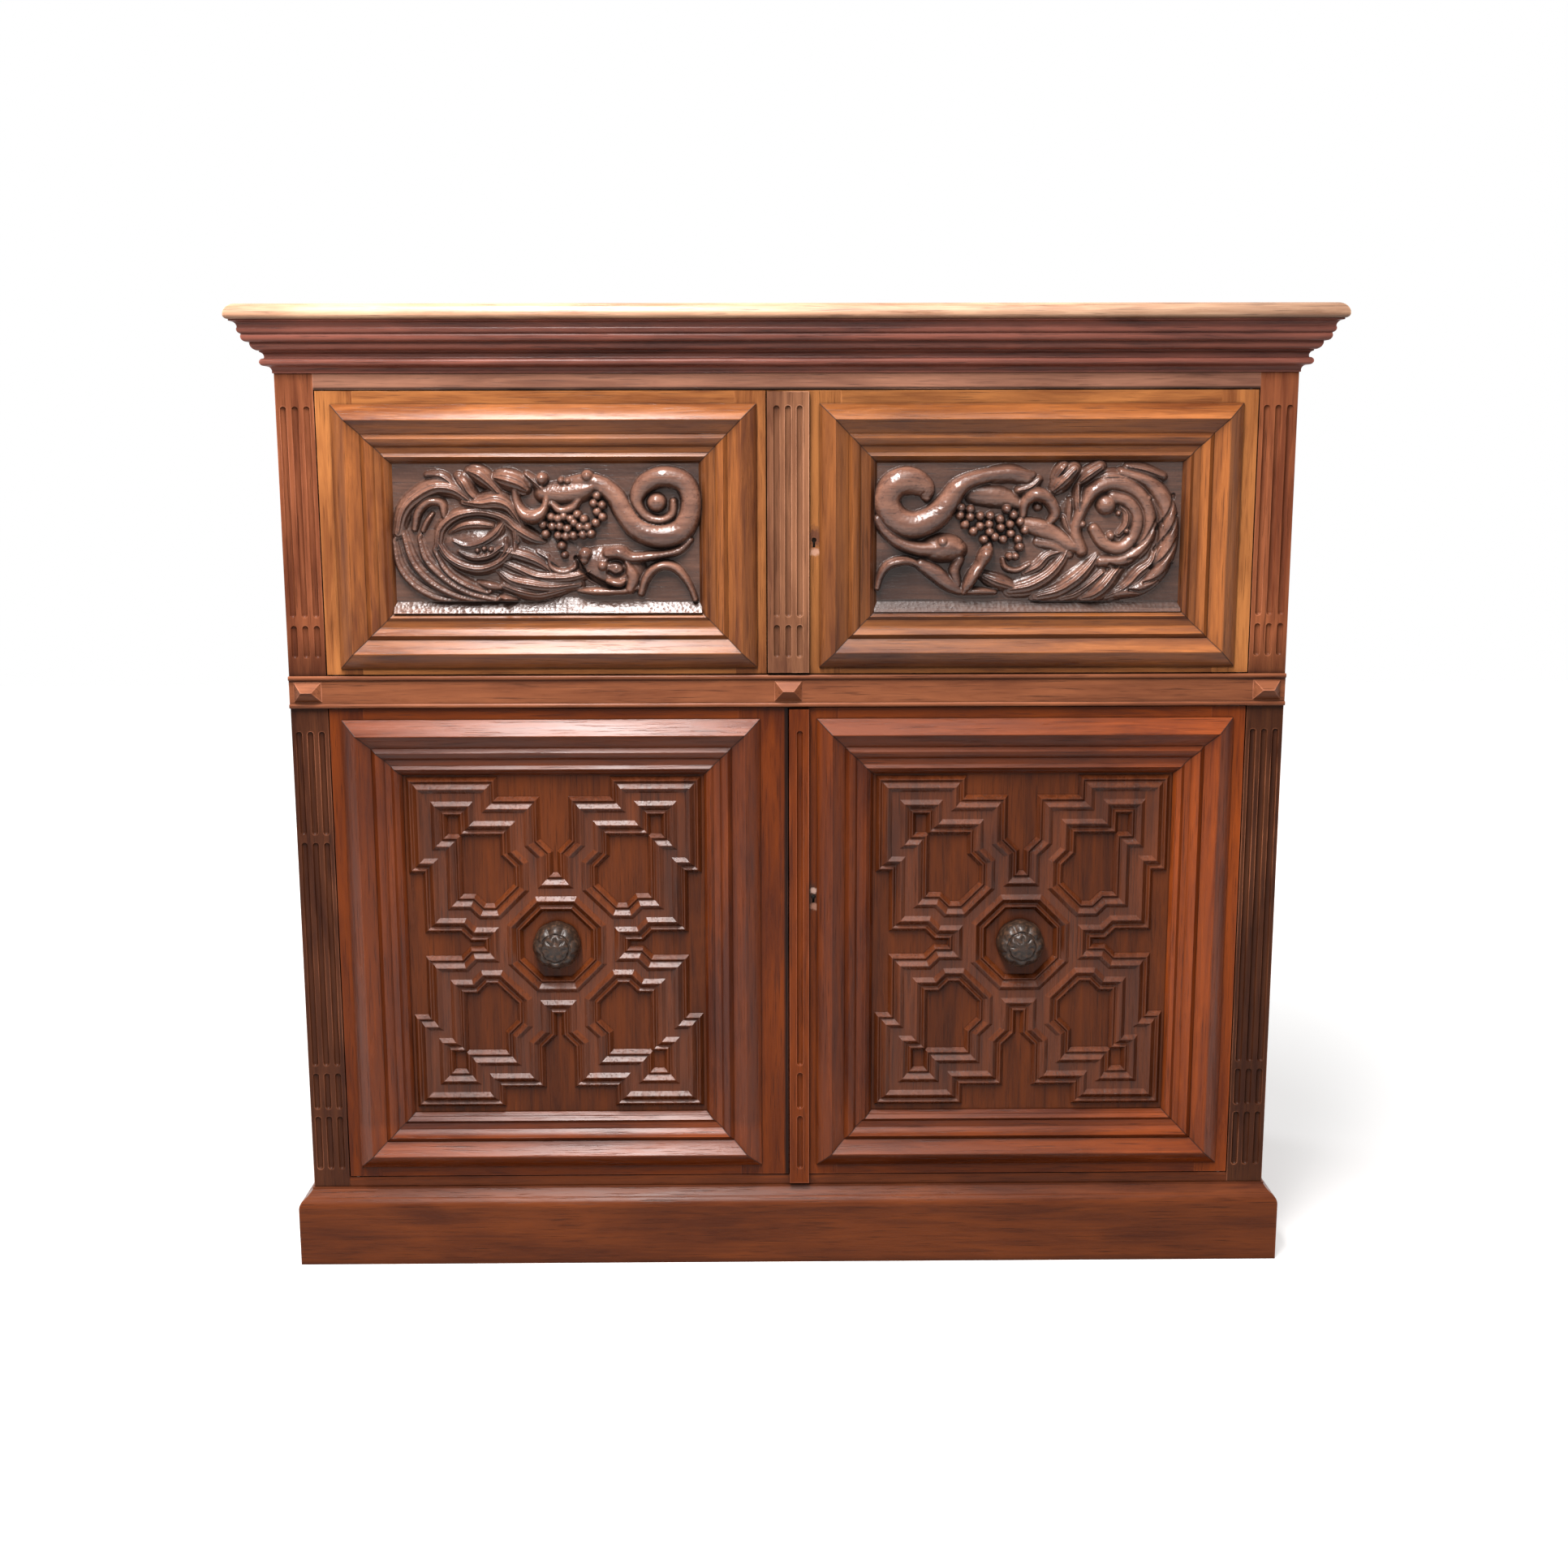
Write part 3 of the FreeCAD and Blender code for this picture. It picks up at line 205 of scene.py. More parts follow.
def wood(name, light, dark, run="z", frame_of=None, shine=0.28, worn=0.3, sink=0.012, gloss=0.11,
         fades=(), grime=(0.30, 0.85), tooled=0.0, planks=None):
    """A waxed wood with its grain along run, between a light and a dark tone, paler at worn edges.

    Each of fades is (axis, start, end, factor): the colour is multiplied by factor from end on, and by 1
    before start.
    tooled presses the flats of a carver's gouge, cells a few millimetres wide, into the surface.
    planks is (first edge, width) along x: each board of that width gets a tone and a stretch of grain of its
    own, and the joints between them are dark."""
    material, tree, shader = new_material(name)
    place = object_place(tree)
    along, mitre = grain_coordinates(tree, run, frame_of)
    if planks:
        first_edge, width = planks
        across = add_node(tree, "SeparateXYZ", {0: place})
        across = math_node(tree, "DIVIDE", minus(tree, across, first_edge), width)
        number = math_node(tree, "FLOOR", across)
        shift = add_node(tree, "CombineXYZ", {2: times(tree, number, board_shift)})
        along = add_node(tree, "VectorMath", {0: along, 1: shift}, operation="ADD")
    broad = noise(tree, along, 14.0, 4.0, 0.6, warp=0.6, stretch=0.22)
    streak = noise(tree, along, 105.0, 7.0, 0.66, warp=0.6, stretch=0.07)
    fine = noise(tree, along, 520.0, 3.0, 0.6, stretch=0.03)
    pores = remap(tree, fine, pore_start, pore_full)
    figure = math_node(tree, "ADD", times(tree, broad, boards_weight), times(tree, streak, streaks_weight))
    tone = remap(tree, figure, 1.0 - figure_spread, 1.0 + figure_spread)
    colour = blend_colour(tree, tone, (*dark, 1), (*light, 1))
    colour = blend_colour(tree, times(tree, pores, pore_dark), colour, tuple(0.3 * c for c in dark) + (1,))
    if planks:
        chance = add_node(tree, "TexWhiteNoise", {"W": number}, noise_dimensions="1D")
        board_tone = remap(tree, chance, 0.0, 1.0, darkest_board, palest_board)
        off = math_node(tree, "ABSOLUTE", minus(tree, math_node(tree, "FRACT", across), 0.5))
        shadow = remap(tree, off, 0.5 - joint_shadow / width, 0.5 - joint_edge / width, 1.0, joint_tone)
        colour = scale_colour(tree, colour, times(tree, board_tone, shadow))
    for axis, start, end, factor in fades:
        along_axis = add_node(tree, "SeparateXYZ", {0: place}, output=axis)
        colour = scale_colour(tree, colour, remap(tree, along_axis, start, end, 1.0, factor))
    rounded = add_node(tree, "Bevel", {"Radius": edge_rounding}, samples=4)
    true_normal = add_node(tree, "NewGeometry", output="Normal")
    turn = add_node(tree, "VectorMath", {0: rounded, 1: true_normal}, output=1, operation="DOT_PRODUCT")
    rub = times(tree, remap(tree, turn, 0.985, 0.86), remap(tree, broad, 0.42, 0.6))
    pale = tuple(min(1.0, 2.1 * c + 0.05) for c in light) + (1,)
    colour = blend_colour(tree, times(tree, rub, worn), colour, pale)
    # Painted shade: ambient occlusion darkens corners and grooves towards a dark tone, also for wax and dust
    # there; a mitre adds its dark joint line.
    hollow = add_node(tree, "AmbientOcclusion", {"Distance": sink}, output="AO", samples=6)
    shade_and_dirt = remap(tree, hollow, *grime, most_shade_and_dirt, 0.0)
    if mitre:
        shade_and_dirt = math_node(tree, "MAXIMUM", shade_and_dirt, mitre)
    colour = blend_colour(tree, shade_and_dirt, colour, tuple(shade_and_dirt_tone * c for c in dark) + (1,))
    tree.links.new(colour, shader.inputs["Base Color"])
    dull = remap(tree, streak, 0.3, 0.7, shine - shine_below, shine + shine_above)
    dull = math_node(tree, "ADD", dull, times(tree, shade_and_dirt, dirt_dulls), clamp=True)
    tree.links.new(dull, shader.inputs["Roughness"])
    relief = minus(tree, streak, times(tree, pores, pore_depth))
    if tooled:
        flats = add_node(tree, "TexVoronoi", {0: place, "Scale": gouge_flats})
        relief = math_node(tree, "ADD", relief, times(tree, flats, tooled))
    set_bump(tree, shader, relief, grain_depth, grain_strength)
    shader.inputs["Specular IOR Level"].default_value = gloss
    return material


def dress(node, material):
    """Give a CAD node its material, without touching its mesh."""
    slots = nodes[node].data.materials
    slots.clear()
    slots.append(material)

# %% Tones of the wood, linear red, green and blue
tones = {
    "amber": ((0.43, 0.165, 0.049), (0.175, 0.056, 0.018)),
    "amber_moulding": ((0.33, 0.11, 0.028), (0.115, 0.032, 0.01)),
    "chestnut": ((0.155, 0.031, 0.0045), (0.062, 0.011, 0.0022)),
    "post": ((0.25, 0.08, 0.034), (0.105, 0.029, 0.013)),
    "post_right": ((0.3, 0.098, 0.04), (0.13, 0.036, 0.016)),
    "rail": ((0.235, 0.08, 0.035), (0.115, 0.035, 0.016)),
    "strip": ((0.23, 0.1, 0.05), (0.095, 0.036, 0.019)),
    "frieze": ((0.32, 0.15, 0.096), (0.155, 0.068, 0.045)),
    "cornice": ((0.27, 0.088, 0.06), (0.095, 0.029, 0.021)),
    "red": ((0.19, 0.055, 0.023), (0.075, 0.02, 0.01)),
    "plinth": ((0.145, 0.036, 0.01), (0.07, 0.0165, 0.0055)),
    "fret": ((0.112, 0.027, 0.007), (0.046, 0.011, 0.0036)),
    "carved": ((0.21, 0.1, 0.066), (0.075, 0.034, 0.024)),
    "nose": ((0.52, 0.32, 0.2), (0.24, 0.115, 0.065)),
    "plain": ((0.36, 0.21, 0.1), (0.17, 0.09, 0.04)),
    "dust": ((0.085, 0.055, 0.034), (0.04, 0.026, 0.017)),
}
made = {}


def wood_for(tone, run, frame_of=None, mark="", **more):
    """The wood of one tone and direction, made once and shared; mark sets a variant apart."""
    name = "_".join(filter(None, ("wood", tone, run, frame_of, mark)))
    if name not in made:
        made[name] = wood(name, *tones[tone], run, frame_of, **more)
    return made[name]

# %% [markdown]
# ## Dress the carcase and the doors
# Each solid gets the tone that it has on the old piece: a red-brown frame that darkens below the upper doors,
# amber upper doors, chestnut lower ones, and plain timber inside. The top's nose, the cornice and the
# mouldings of the doors are the glossiest. A few fades on the frieze, the top's nose and the doors paint shade
# into the colour, and one paints a highlight; each is said where it stands.

# %% Dress the carcase
# Painted shade in corners, with a shorter reach and a weaker range, for the posts and the strips.
thin_grime = {"sink": 0.006, "grime": (0.35, 0.95)}
post_light_end, post_dark_start = 0.80, 0.74
for side, tone, low_part in (("left", "post", 0.33), ("right", "post_right", 0.24)):
    darker_below = (2, post_light_end, post_dark_start, low_part)
    dress("front_post_" + side, wood_for(tone, "z", gloss=0.09, worn=0.6, fades=[darker_below], **thin_grime))
    dress("back_post_" + side, wood_for("red", "z"))
    dress("side_rails_" + side, wood_for("red", "y"))
    dress("side_panels_" + side, wood_for("red", "z"))
for node, tone, run in (
        ("mid_rail", "rail", "x"), ("mid_band", "rail", "x"), ("bottom_rail", "chestnut", "x"),
        ("plinth_front", "plinth", "x"), ("plinth_returns", "plinth", "y"), ("bottom_board", "plinth", "x"),
        ("back_rails", "plain", "x"), ("mid_board", "plain", "x"), ("shelf", "plain", "x"),
        ("bearers", "plain", "y")):
    dress(node, wood_for(tone, run))
dress("diamond_blocks", wood_for("rail", "x", mark="blocks", worn=0.8))
frieze_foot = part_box("frieze_rail")[0].z
# The frieze's foot is darkened to 0.15 over its last 3.5 mm: a painted shadow of the gap above the upper
# doors.
dress("frieze_rail", wood_for("frieze", "x", fades=[(2, frieze_foot + 0.0035, frieze_foot + 0.0015, 0.15)]))
dress("cornice_front", wood_for("cornice", "x", gloss=0.2))
dress("cornice_returns", wood_for("cornice", "y", gloss=0.2))
nose_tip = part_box("top_board")[0].y
# Behind the nose the top is a darker wood. Towards the right the nose is darkened as painted shade, so that
# its left part reads as lit.
behind_nose, nose_shade_to_right = (1, nose_tip + 0.014, nose_tip + 0.034, 0.38), (0, 0.0, 0.55, 0.68)
dress("top_board", wood_for("nose", "x", worn=0.8, gloss=0.3, fades=[behind_nose, nose_shade_to_right]))
back_low, back_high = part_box("back_boards")
board_count, board_gap = 8, 0.0006
board_pitch = (back_high.x - back_low.x + board_gap) / board_count
dress("back_boards", wood_for("plain", "z", mark="boards", planks=(back_low.x - board_gap / 2, board_pitch)))

# %% Dress the doors
# Each door: its tone, the fades over its frame, and the gloss and fades of its moulding. Three fades paint
# light and shade: the lower left stile's meeting edge is darkened as a painted shadow of the gap between the
# doors, the foot of the lower left moulding is lightened as a painted highlight, and the steps of the upper
# mouldings next to the panel are darkened as painted shade.
leaf_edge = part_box("lower_left_stiles")[1].x
moulding_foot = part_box("lower_left_moulding")[0].z
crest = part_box("upper_left_moulding")[0].y
# Painted shadow of the gap between the lower doors, on the left stile's meeting edge.
gap_shadow_edge = (0, leaf_edge - 0.0060, leaf_edge - 0.0030, 0.08)
# Painted highlight on the foot of the lower left moulding.
painted_highlight_foot = (2, moulding_foot + 0.062, moulding_foot + 0.052, 1.3)
# Painted shade on the moulding's steps more than 12 mm behind its crest.
shaded_inner_steps = (1, crest + 0.012, crest + 0.019, 0.62)
across_left = (0, -0.40, -0.06, 0.85)
across_right = (0, 0.36, 0.46, 1.6)
near_middle = (0, 0.42, 0.12, 0.70)
doors = {"lower_left": ("chestnut", [gap_shadow_edge], 0.21, [painted_highlight_foot]),
         "lower_right": ("chestnut", [across_right], 0.17, [across_right]),
         "upper_left": ("amber", [across_left], 0.24, [across_left, shaded_inner_steps]),
         "upper_right": ("amber", [near_middle], 0.24, [near_middle, shaded_inner_steps])}
panel_finish = {"worn": 0.05, "sink": 0.006, "grime": (0.2, 0.75)}
for door, (tone, fades, gloss, moulding_fades) in doors.items():
    dress(door + "_stiles", wood_for(tone, "z", mark=door, fades=fades))
    dress(door + "_rails", wood_for(tone, "x", mark=door, fades=fades))
    moulded = "amber_moulding" if tone == "amber" else tone
    dress(door + "_moulding", wood_for(
        moulded, "ring", door + "_moulding", fades=moulding_fades, worn=0.12, sink=0.018,
        grime=(0.30, 0.95), shine=0.23, gloss=gloss))
    if "lower" in door:
        dress(door + "_panel", wood_for("fret", "z", mark="panel", gloss=0.10, **panel_finish))
        dress(door + "_fret", wood_for("fret", "z", shine=0.25, gloss=0.19, **panel_finish))
    else:
        dress(door + "_panel", wood_for("carved", "x"))
dress("upper_right_centre_strip", wood_for("strip", "z", worn=0.9, **thin_grime))
dress("lower_right_centre_strip", wood_for("chestnut", "z", mark="strip", worn=0.7, **thin_grime))

# %% Painted shade in the keyholes, and wear round them
def paint_spot(material, x, z, wide, high, colour, strength):
    """Tint an oval of the front, in metres: strength in its middle, nothing at its edge, frayed by noise."""
    tree = material.node_tree
    base = tree.nodes["Principled BSDF"].inputs["Base Color"]
    before = base.links[0].from_socket
    place = object_place(tree)
    oval = add_node(tree, "Mapping",
                    {"Vector": place, "Location": (-x / wide, 0, -z / high), "Scale": (1 / wide, 0, 1 / high)})
    off = add_node(tree, "VectorMath", {0: oval}, output=1, operation="LENGTH")
    fray = minus(tree, noise(tree, place, 420.0, 3.0), 0.5)
    off = math_node(tree, "ADD", off, times(tree, fray, 0.9))
    tree.links.new(blend_colour(tree, remap(tree, off, 0.5, 1.0, strength, 0.0), before, (*colour, 1)), base)


# For each stile with a keyhole: where the keyhole is from the low corner of the stiles, and the marks round
# it: the dark ones are painted shade of the keyhole's opening, larger than the hole in the solid, and the pale
# ones are rubbed wood. Each mark: off across, off up, half width, half height, colour, strength.
keyholes = {
    "upper_right_stiles": ((0.056, 0.1605), [
        (0.001, 0.003, 0.010, 0.016, (0.055, 0.020, 0.017), 0.75),
        (0.001, -0.0145, 0.0085, 0.0055, (0.42, 0.24, 0.17), 0.8)]),
    "lower_right_stiles": ((0.0298, 0.363), [
        (-0.004, 0.0, 0.012, 0.022, (0.022, 0.013, 0.010), 0.75),
        (0.0, 0.0075, 0.0055, 0.0045, (0.42, 0.28, 0.23), 0.9),
        (0.002, -0.0125, 0.0085, 0.0055, (0.26, 0.13, 0.09), 0.9)]),
}
for node, ((off_x, off_z), marks) in keyholes.items():
    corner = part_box(node)[0]
    x, z = corner.x + off_x, corner.z + off_z
    for across, up, wide, high, colour, strength in marks:
        paint_spot(nodes[node].data.materials[0], x + across, z + up, wide, high, colour, strength)
    print(node, "worn round the keyhole at %.3f, %.3f m" % (x, z))

# %% [markdown]
# ## Ebony black
# The two bosses are stained black and polished. Black shows little of its grain, so the finish is told by
# small dents and by patches of brown wood where the stain has rubbed off.

# %% Ebonised wood for the bosses
def mottled(name, spots, patches, plain, patched, rough, dent, strength=0.5):
    """Two tones by one cloudy noise, which also sets the roughness and dents the surface.

    spots is the noise's scale, detail and roughness; patches turns the noise into the share of patched."""
    material, tree, shader = new_material(name)
    cloud = noise(tree, object_place(tree), *spots)
    share = remap(tree, cloud, *patches)
    tree.links.new(blend_colour(tree, share, (*plain, 1), (*patched, 1)), shader.inputs["Base Color"])
    tree.links.new(remap(tree, cloud, 0.3, 0.7, *rough), shader.inputs["Roughness"])
    set_bump(tree, shader, cloud, dent, strength)
    return material, shader, share


black_wood, shader, rubbed = mottled(
    "black_wood", (210.0, 5.0, 0.6), (0.48, 0.70, 0.0, 0.7), (0.022, 0.013, 0.009), (0.10, 0.048, 0.026),
    (0.26, 0.42), 0.0005)
shader.inputs["Specular IOR Level"].default_value = 0.26
for hand in ("left", "right"):
    dress("lower_" + hand + "_boss", black_wood)

# %% [markdown]
# ## Iron
# Pins, bolts and lock cases are dark forged iron with a little rust in the grain.

# %% Iron, less metallic where it is rusty
dark_iron, shader, rust = mottled(
    "dark_iron", (160.0, 6.0, 0.65), (0.5, 0.68), (0.075, 0.068, 0.062), (0.11, 0.045, 0.02),
    (0.38, 0.62), 0.0003)
tree = dark_iron.node_tree
tree.links.new(remap(tree, rust, 0.0, 1.0, 1.0, 0.1), shader.inputs["Metallic"])
iron_nodes = [node for node in nodes if any(word in node for word in ("pivot", "shoot", "lock_"))]
for node in iron_nodes:
    dress(node, dark_iron)
print("solids of iron:", len(iron_nodes))

# %% [markdown]
# ## Dark fillings in the joints of the back
# The back is eight boards with a hair's breadth between them. On an old piece those joints fill with dust and
# wax; here each joint gets a filling, so no daylight shows through, and its dark dust tone also paints the
# shade of the joint. Each filling is a thin four-sided bar as long as its joint, whose outer side wanders in
# and out like packed dust.

# %% Fill the joints between the back boards
def joint_fillings(name, low, high, pitch, gap, count, steps=90):
    """One bar in each joint: its outer side is inset by 2.2 mm, plus 0.7 mm times two added sines of z."""
    clear, inset, sway = 0.00004, 0.0022, 0.0007
    right = low.x + pitch * np.arange(1, count)[:, None, None] - clear
    left = right - gap + 2 * clear
    z = np.linspace(low.z + 0.001, high.z - 0.001, steps)[None, :, None]
    wander = inset + sway * (0.6 * np.sin(61 * z + 9 * right) + 0.4 * np.sin(143 * z + 31 * right))
    corners = np.zeros((count - 1, steps, 4, 3))
    corners[..., 0] = np.concatenate([left + 0 * z, right + 0 * z, right + 0 * z, left + 0 * z], -1)
    corners[..., 1] = np.concatenate([low.y + wander, low.y + wander, high.y - wander, high.y - wander], -1)
    corners[..., 2] = z
    index = np.arange(corners.size // 3).reshape(count - 1, steps, 4)
    after = np.roll(index, -1, axis=2)
    sides = np.stack([index[:, :-1], after[:, :-1], after[:, 1:], index[:, 1:]], -1).reshape(-1, 4)
    ends = np.concatenate([index[:, 0, ::-1], index[:, -1]])
    return mesh_piece(name, corners, np.concatenate([sides, ends]).tolist())


piece = joint_fillings("back_joint_fillings", back_low, back_high, board_pitch, board_gap, board_count)
# A dark dust tone, which also paints the shade of the joint.
piece.data.materials.append(wood_for("dust", "z"))
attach(piece, "carcase")
print("joints filled in the back:", board_count - 1, "in", len(piece.data.polygons), "faces")

# %% [markdown]
# ## The carved panels
# A dolphin's tail curls beside a bunch of grapes and a swirl of acanthus, cut up to twenty-five millimetres
# deep. Sculpting by hand would do it, but can't be run again. Here a carver's way is followed instead: the
# relief is a grid of heights over the panel, and every leaf, roll and grape is one stroke of a gouge, drawn
# as a smooth line through a few points with a width and a height at each. Strokes meet in a small hollow.

# %% Helper: a smooth line through points
def smooth_line(points, count):
    """Catmull-Rom curve: between two points, the cubic that leaves each along the line of its neighbours."""
    p = np.array(points, float)
    p = np.vstack([2 * p[0] - p[1], p, 2 * p[-1] - p[-2]])
    t = np.linspace(0, len(points) - 1, count)
    i = np.minimum(t.astype(int), len(points) - 2)
    f = (t - i)[:, None]
    a, b, c, d = p[i], p[i + 1], p[i + 2], p[i + 3]
    return 0.5 * (2 * b + (c - a) * f + (2 * a - 5 * b + 4 * c - d) * f ** 2
                  + (3 * b - a - 3 * c + d) * f ** 3)

# %% Helper: the section across a stroke
def section(kind, s):
    """Height, 0 to 1, across a stroke at s from -1 to 1 of its half width.

    roll: a half circle. ridge: two slopes to a sharp crest. leaf: a crest near the left side and a long
    hollow slope to the right. dome: a parabola. Both leaf shapes carry shallow gouge cuts, a squared sine."""
    s = np.clip(s, -1, 1)
    crest = 0.22
    cuts = 1 - 0.16 * np.sin(2.5 * np.pi * s) ** 2
    if kind == "roll":
        return np.sqrt(1 - s * s)
    if kind == "ridge":
        return cuts * (1 - np.abs(s)) ** 0.8
    if kind == "leaf":
        u = (s + 1) / 2
        return np.where(u < crest, np.sqrt(1 - (1 - np.minimum(u / crest, 1)) ** 2),
                        cuts * (1 - np.maximum(u - crest, 0) / (1 - crest)) ** 1.35)
    return 1 - s * s

# %% The relief: a grid of heights that strokes are laid on, all in millimetres
relief_step, least_width = 0.9, 0.3
places_per_point = 14
ground, lowest = 2.5, 0.3
stroke_fillet, ball_fillet = 0.7, 0.4
depth_scale = 1.25
grape_radius, grape_rise, grape_lift = 5.7, 7.5, 3
foot_end, back_depth = 829, 1.0


def blank_relief(low_x, high_x, low_z, high_z):
    """A level field: the places along x and z, and a height for each pair."""
    x = np.linspace(low_x, high_x, int((high_x - low_x) / relief_step) + 1)
    z = np.linspace(low_z, high_z, int((high_z - low_z) / relief_step) + 1)
    return {"x": x, "z": z, "height": np.full((len(z), len(x)), ground)}


def near(relief, path, margin):
    """The part of the grid within margin of a path, as slices, with its x and z."""
    columns = slice(*np.searchsorted(relief["x"], (path[:, 0].min() - margin, path[:, 0].max() + margin)))
    rows = slice(*np.searchsorted(relief["z"], (path[:, 1].min() - margin, path[:, 1].max() + margin)))
    return (rows, columns), relief["x"][None, columns], relief["z"][rows, None]


def lay(relief, part, top, inside, fillet):
    """Keep the higher of field and top, raised by a quarter of fillet where the two are level."""
    old = relief["height"][part]
    close = np.maximum(fillet - np.abs(old - top), 0) / fillet
    relief["height"][part] = np.where(inside, np.maximum(old, top) + 0.25 * fillet * close ** 2, old)


def stroke(relief, kind, points, lift):
    """Raise a stroke: at each place, the nearest point of its line, measured in half widths, gives s."""
    path = smooth_line(points, places_per_point * len(points))
    width = np.maximum(path[:, 2], least_width)
    part, x, z = near(relief, path, width.max())
    off_x, off_z = x[..., None] - path[:, 0], z[..., None] - path[:, 1]
    apart = np.hypot(off_x, off_z) / width
    nearest = apart.argmin(-1)
    pick = lambda values: np.take_along_axis(values, nearest[..., None], -1)[..., 0]
    run = np.gradient(path[:, :2], axis=0)
    run /= np.linalg.norm(run, axis=1)[:, None] + 1e-9
    off_x, off_z = np.broadcast_arrays(off_x, off_z)
    across = (run[nearest, 0] * pick(off_z) - run[nearest, 1] * pick(off_x)) / width[nearest]
    far = pick(apart)
    at_end = (nearest == 0) | (nearest == len(path) - 1)
    s = np.where(at_end, far * np.sign(across + 1e-9), across)
    lay(relief, part, ground + lift + path[nearest, 3] * section(kind, s), far < 1, stroke_fillet)


def knob(relief, x, z, radius, height, lift):
    """Raise half a ball."""
    part, px, pz = near(relief, np.array([[x, z]], float), radius)
    off = np.hypot(px - x, pz - z) / radius
    lay(relief, part, ground + lift + height * np.sqrt(np.maximum(1 - off ** 2, 0)), off < 1, ball_fillet)


def cut_groove(relief, points, width, depth):
    """Cut a V along a line: depth in its middle, nothing at width from it."""
    path = smooth_line(points, places_per_point * len(points))
    part, x, z = near(relief, path, width)
    off = np.hypot(x[..., None] - path[:, 0], z[..., None] - path[:, 1]).min(-1)
    cut = relief["height"][part] - depth * np.maximum(1 - off / width, 0)
    relief["height"][part] = np.maximum(cut, lowest)


def carve(relief, strokes, grapes, foot, foot_rise):
    """Lay all strokes and grapes, then slope the foot of the panel up towards its moulding.

    Below the line foot, the height is 1 + foot_rise * the share of the way down to foot_end, up to 1.2."""
    for kind, lift, points in strokes:
        if kind == "knob":
            knob(relief, *points[0], lift)
        elif kind == "groove":
            cut_groove(relief, [p[:2] for p in points], points[0][2], lift)
        else:
            stroke(relief, kind, points, lift)
    for x, z in grapes:
        knob(relief, x, z, grape_radius, grape_rise, grape_lift)
    relief["height"] = ground + depth_scale * (relief["height"] - ground)
    foot = np.array(foot, float)
    top = np.interp(relief["x"], foot[:, 0], foot[:, 1])[None, :]
    z = relief["z"][:, None]
    slope = 1 + foot_rise * np.clip((top - z) / (top - foot_end), 0, 1.2)
    relief["height"] = np.where(z < top, slope, relief["height"])
    return relief

# %% [markdown]
# ## The strokes of both carvings
# The points are read off the photograph, in millimetres from the middle of the cupboard and from the
# floor: across, up, half width, height. A lift raises a whole stroke. The two panels are a pair, but were cut
# freehand and differ.

# %% Strokes of the left panel
def knobs(lift, *balls):
    """Half balls: across, up, radius, height."""
    return [("knob", lift, [ball]) for ball in balls]


def grooves(depth, half_width, *lines):
    """V cuts of one depth and half width, along lines of points: across, up."""
    return [("groove", depth, [(x, z, half_width) for x, z in line]) for line in lines]


def stroke_of(kind):
    """What writes down a stroke of one kind, from its points and its lift."""
    return lambda *points, lift=0: (kind, lift, points)


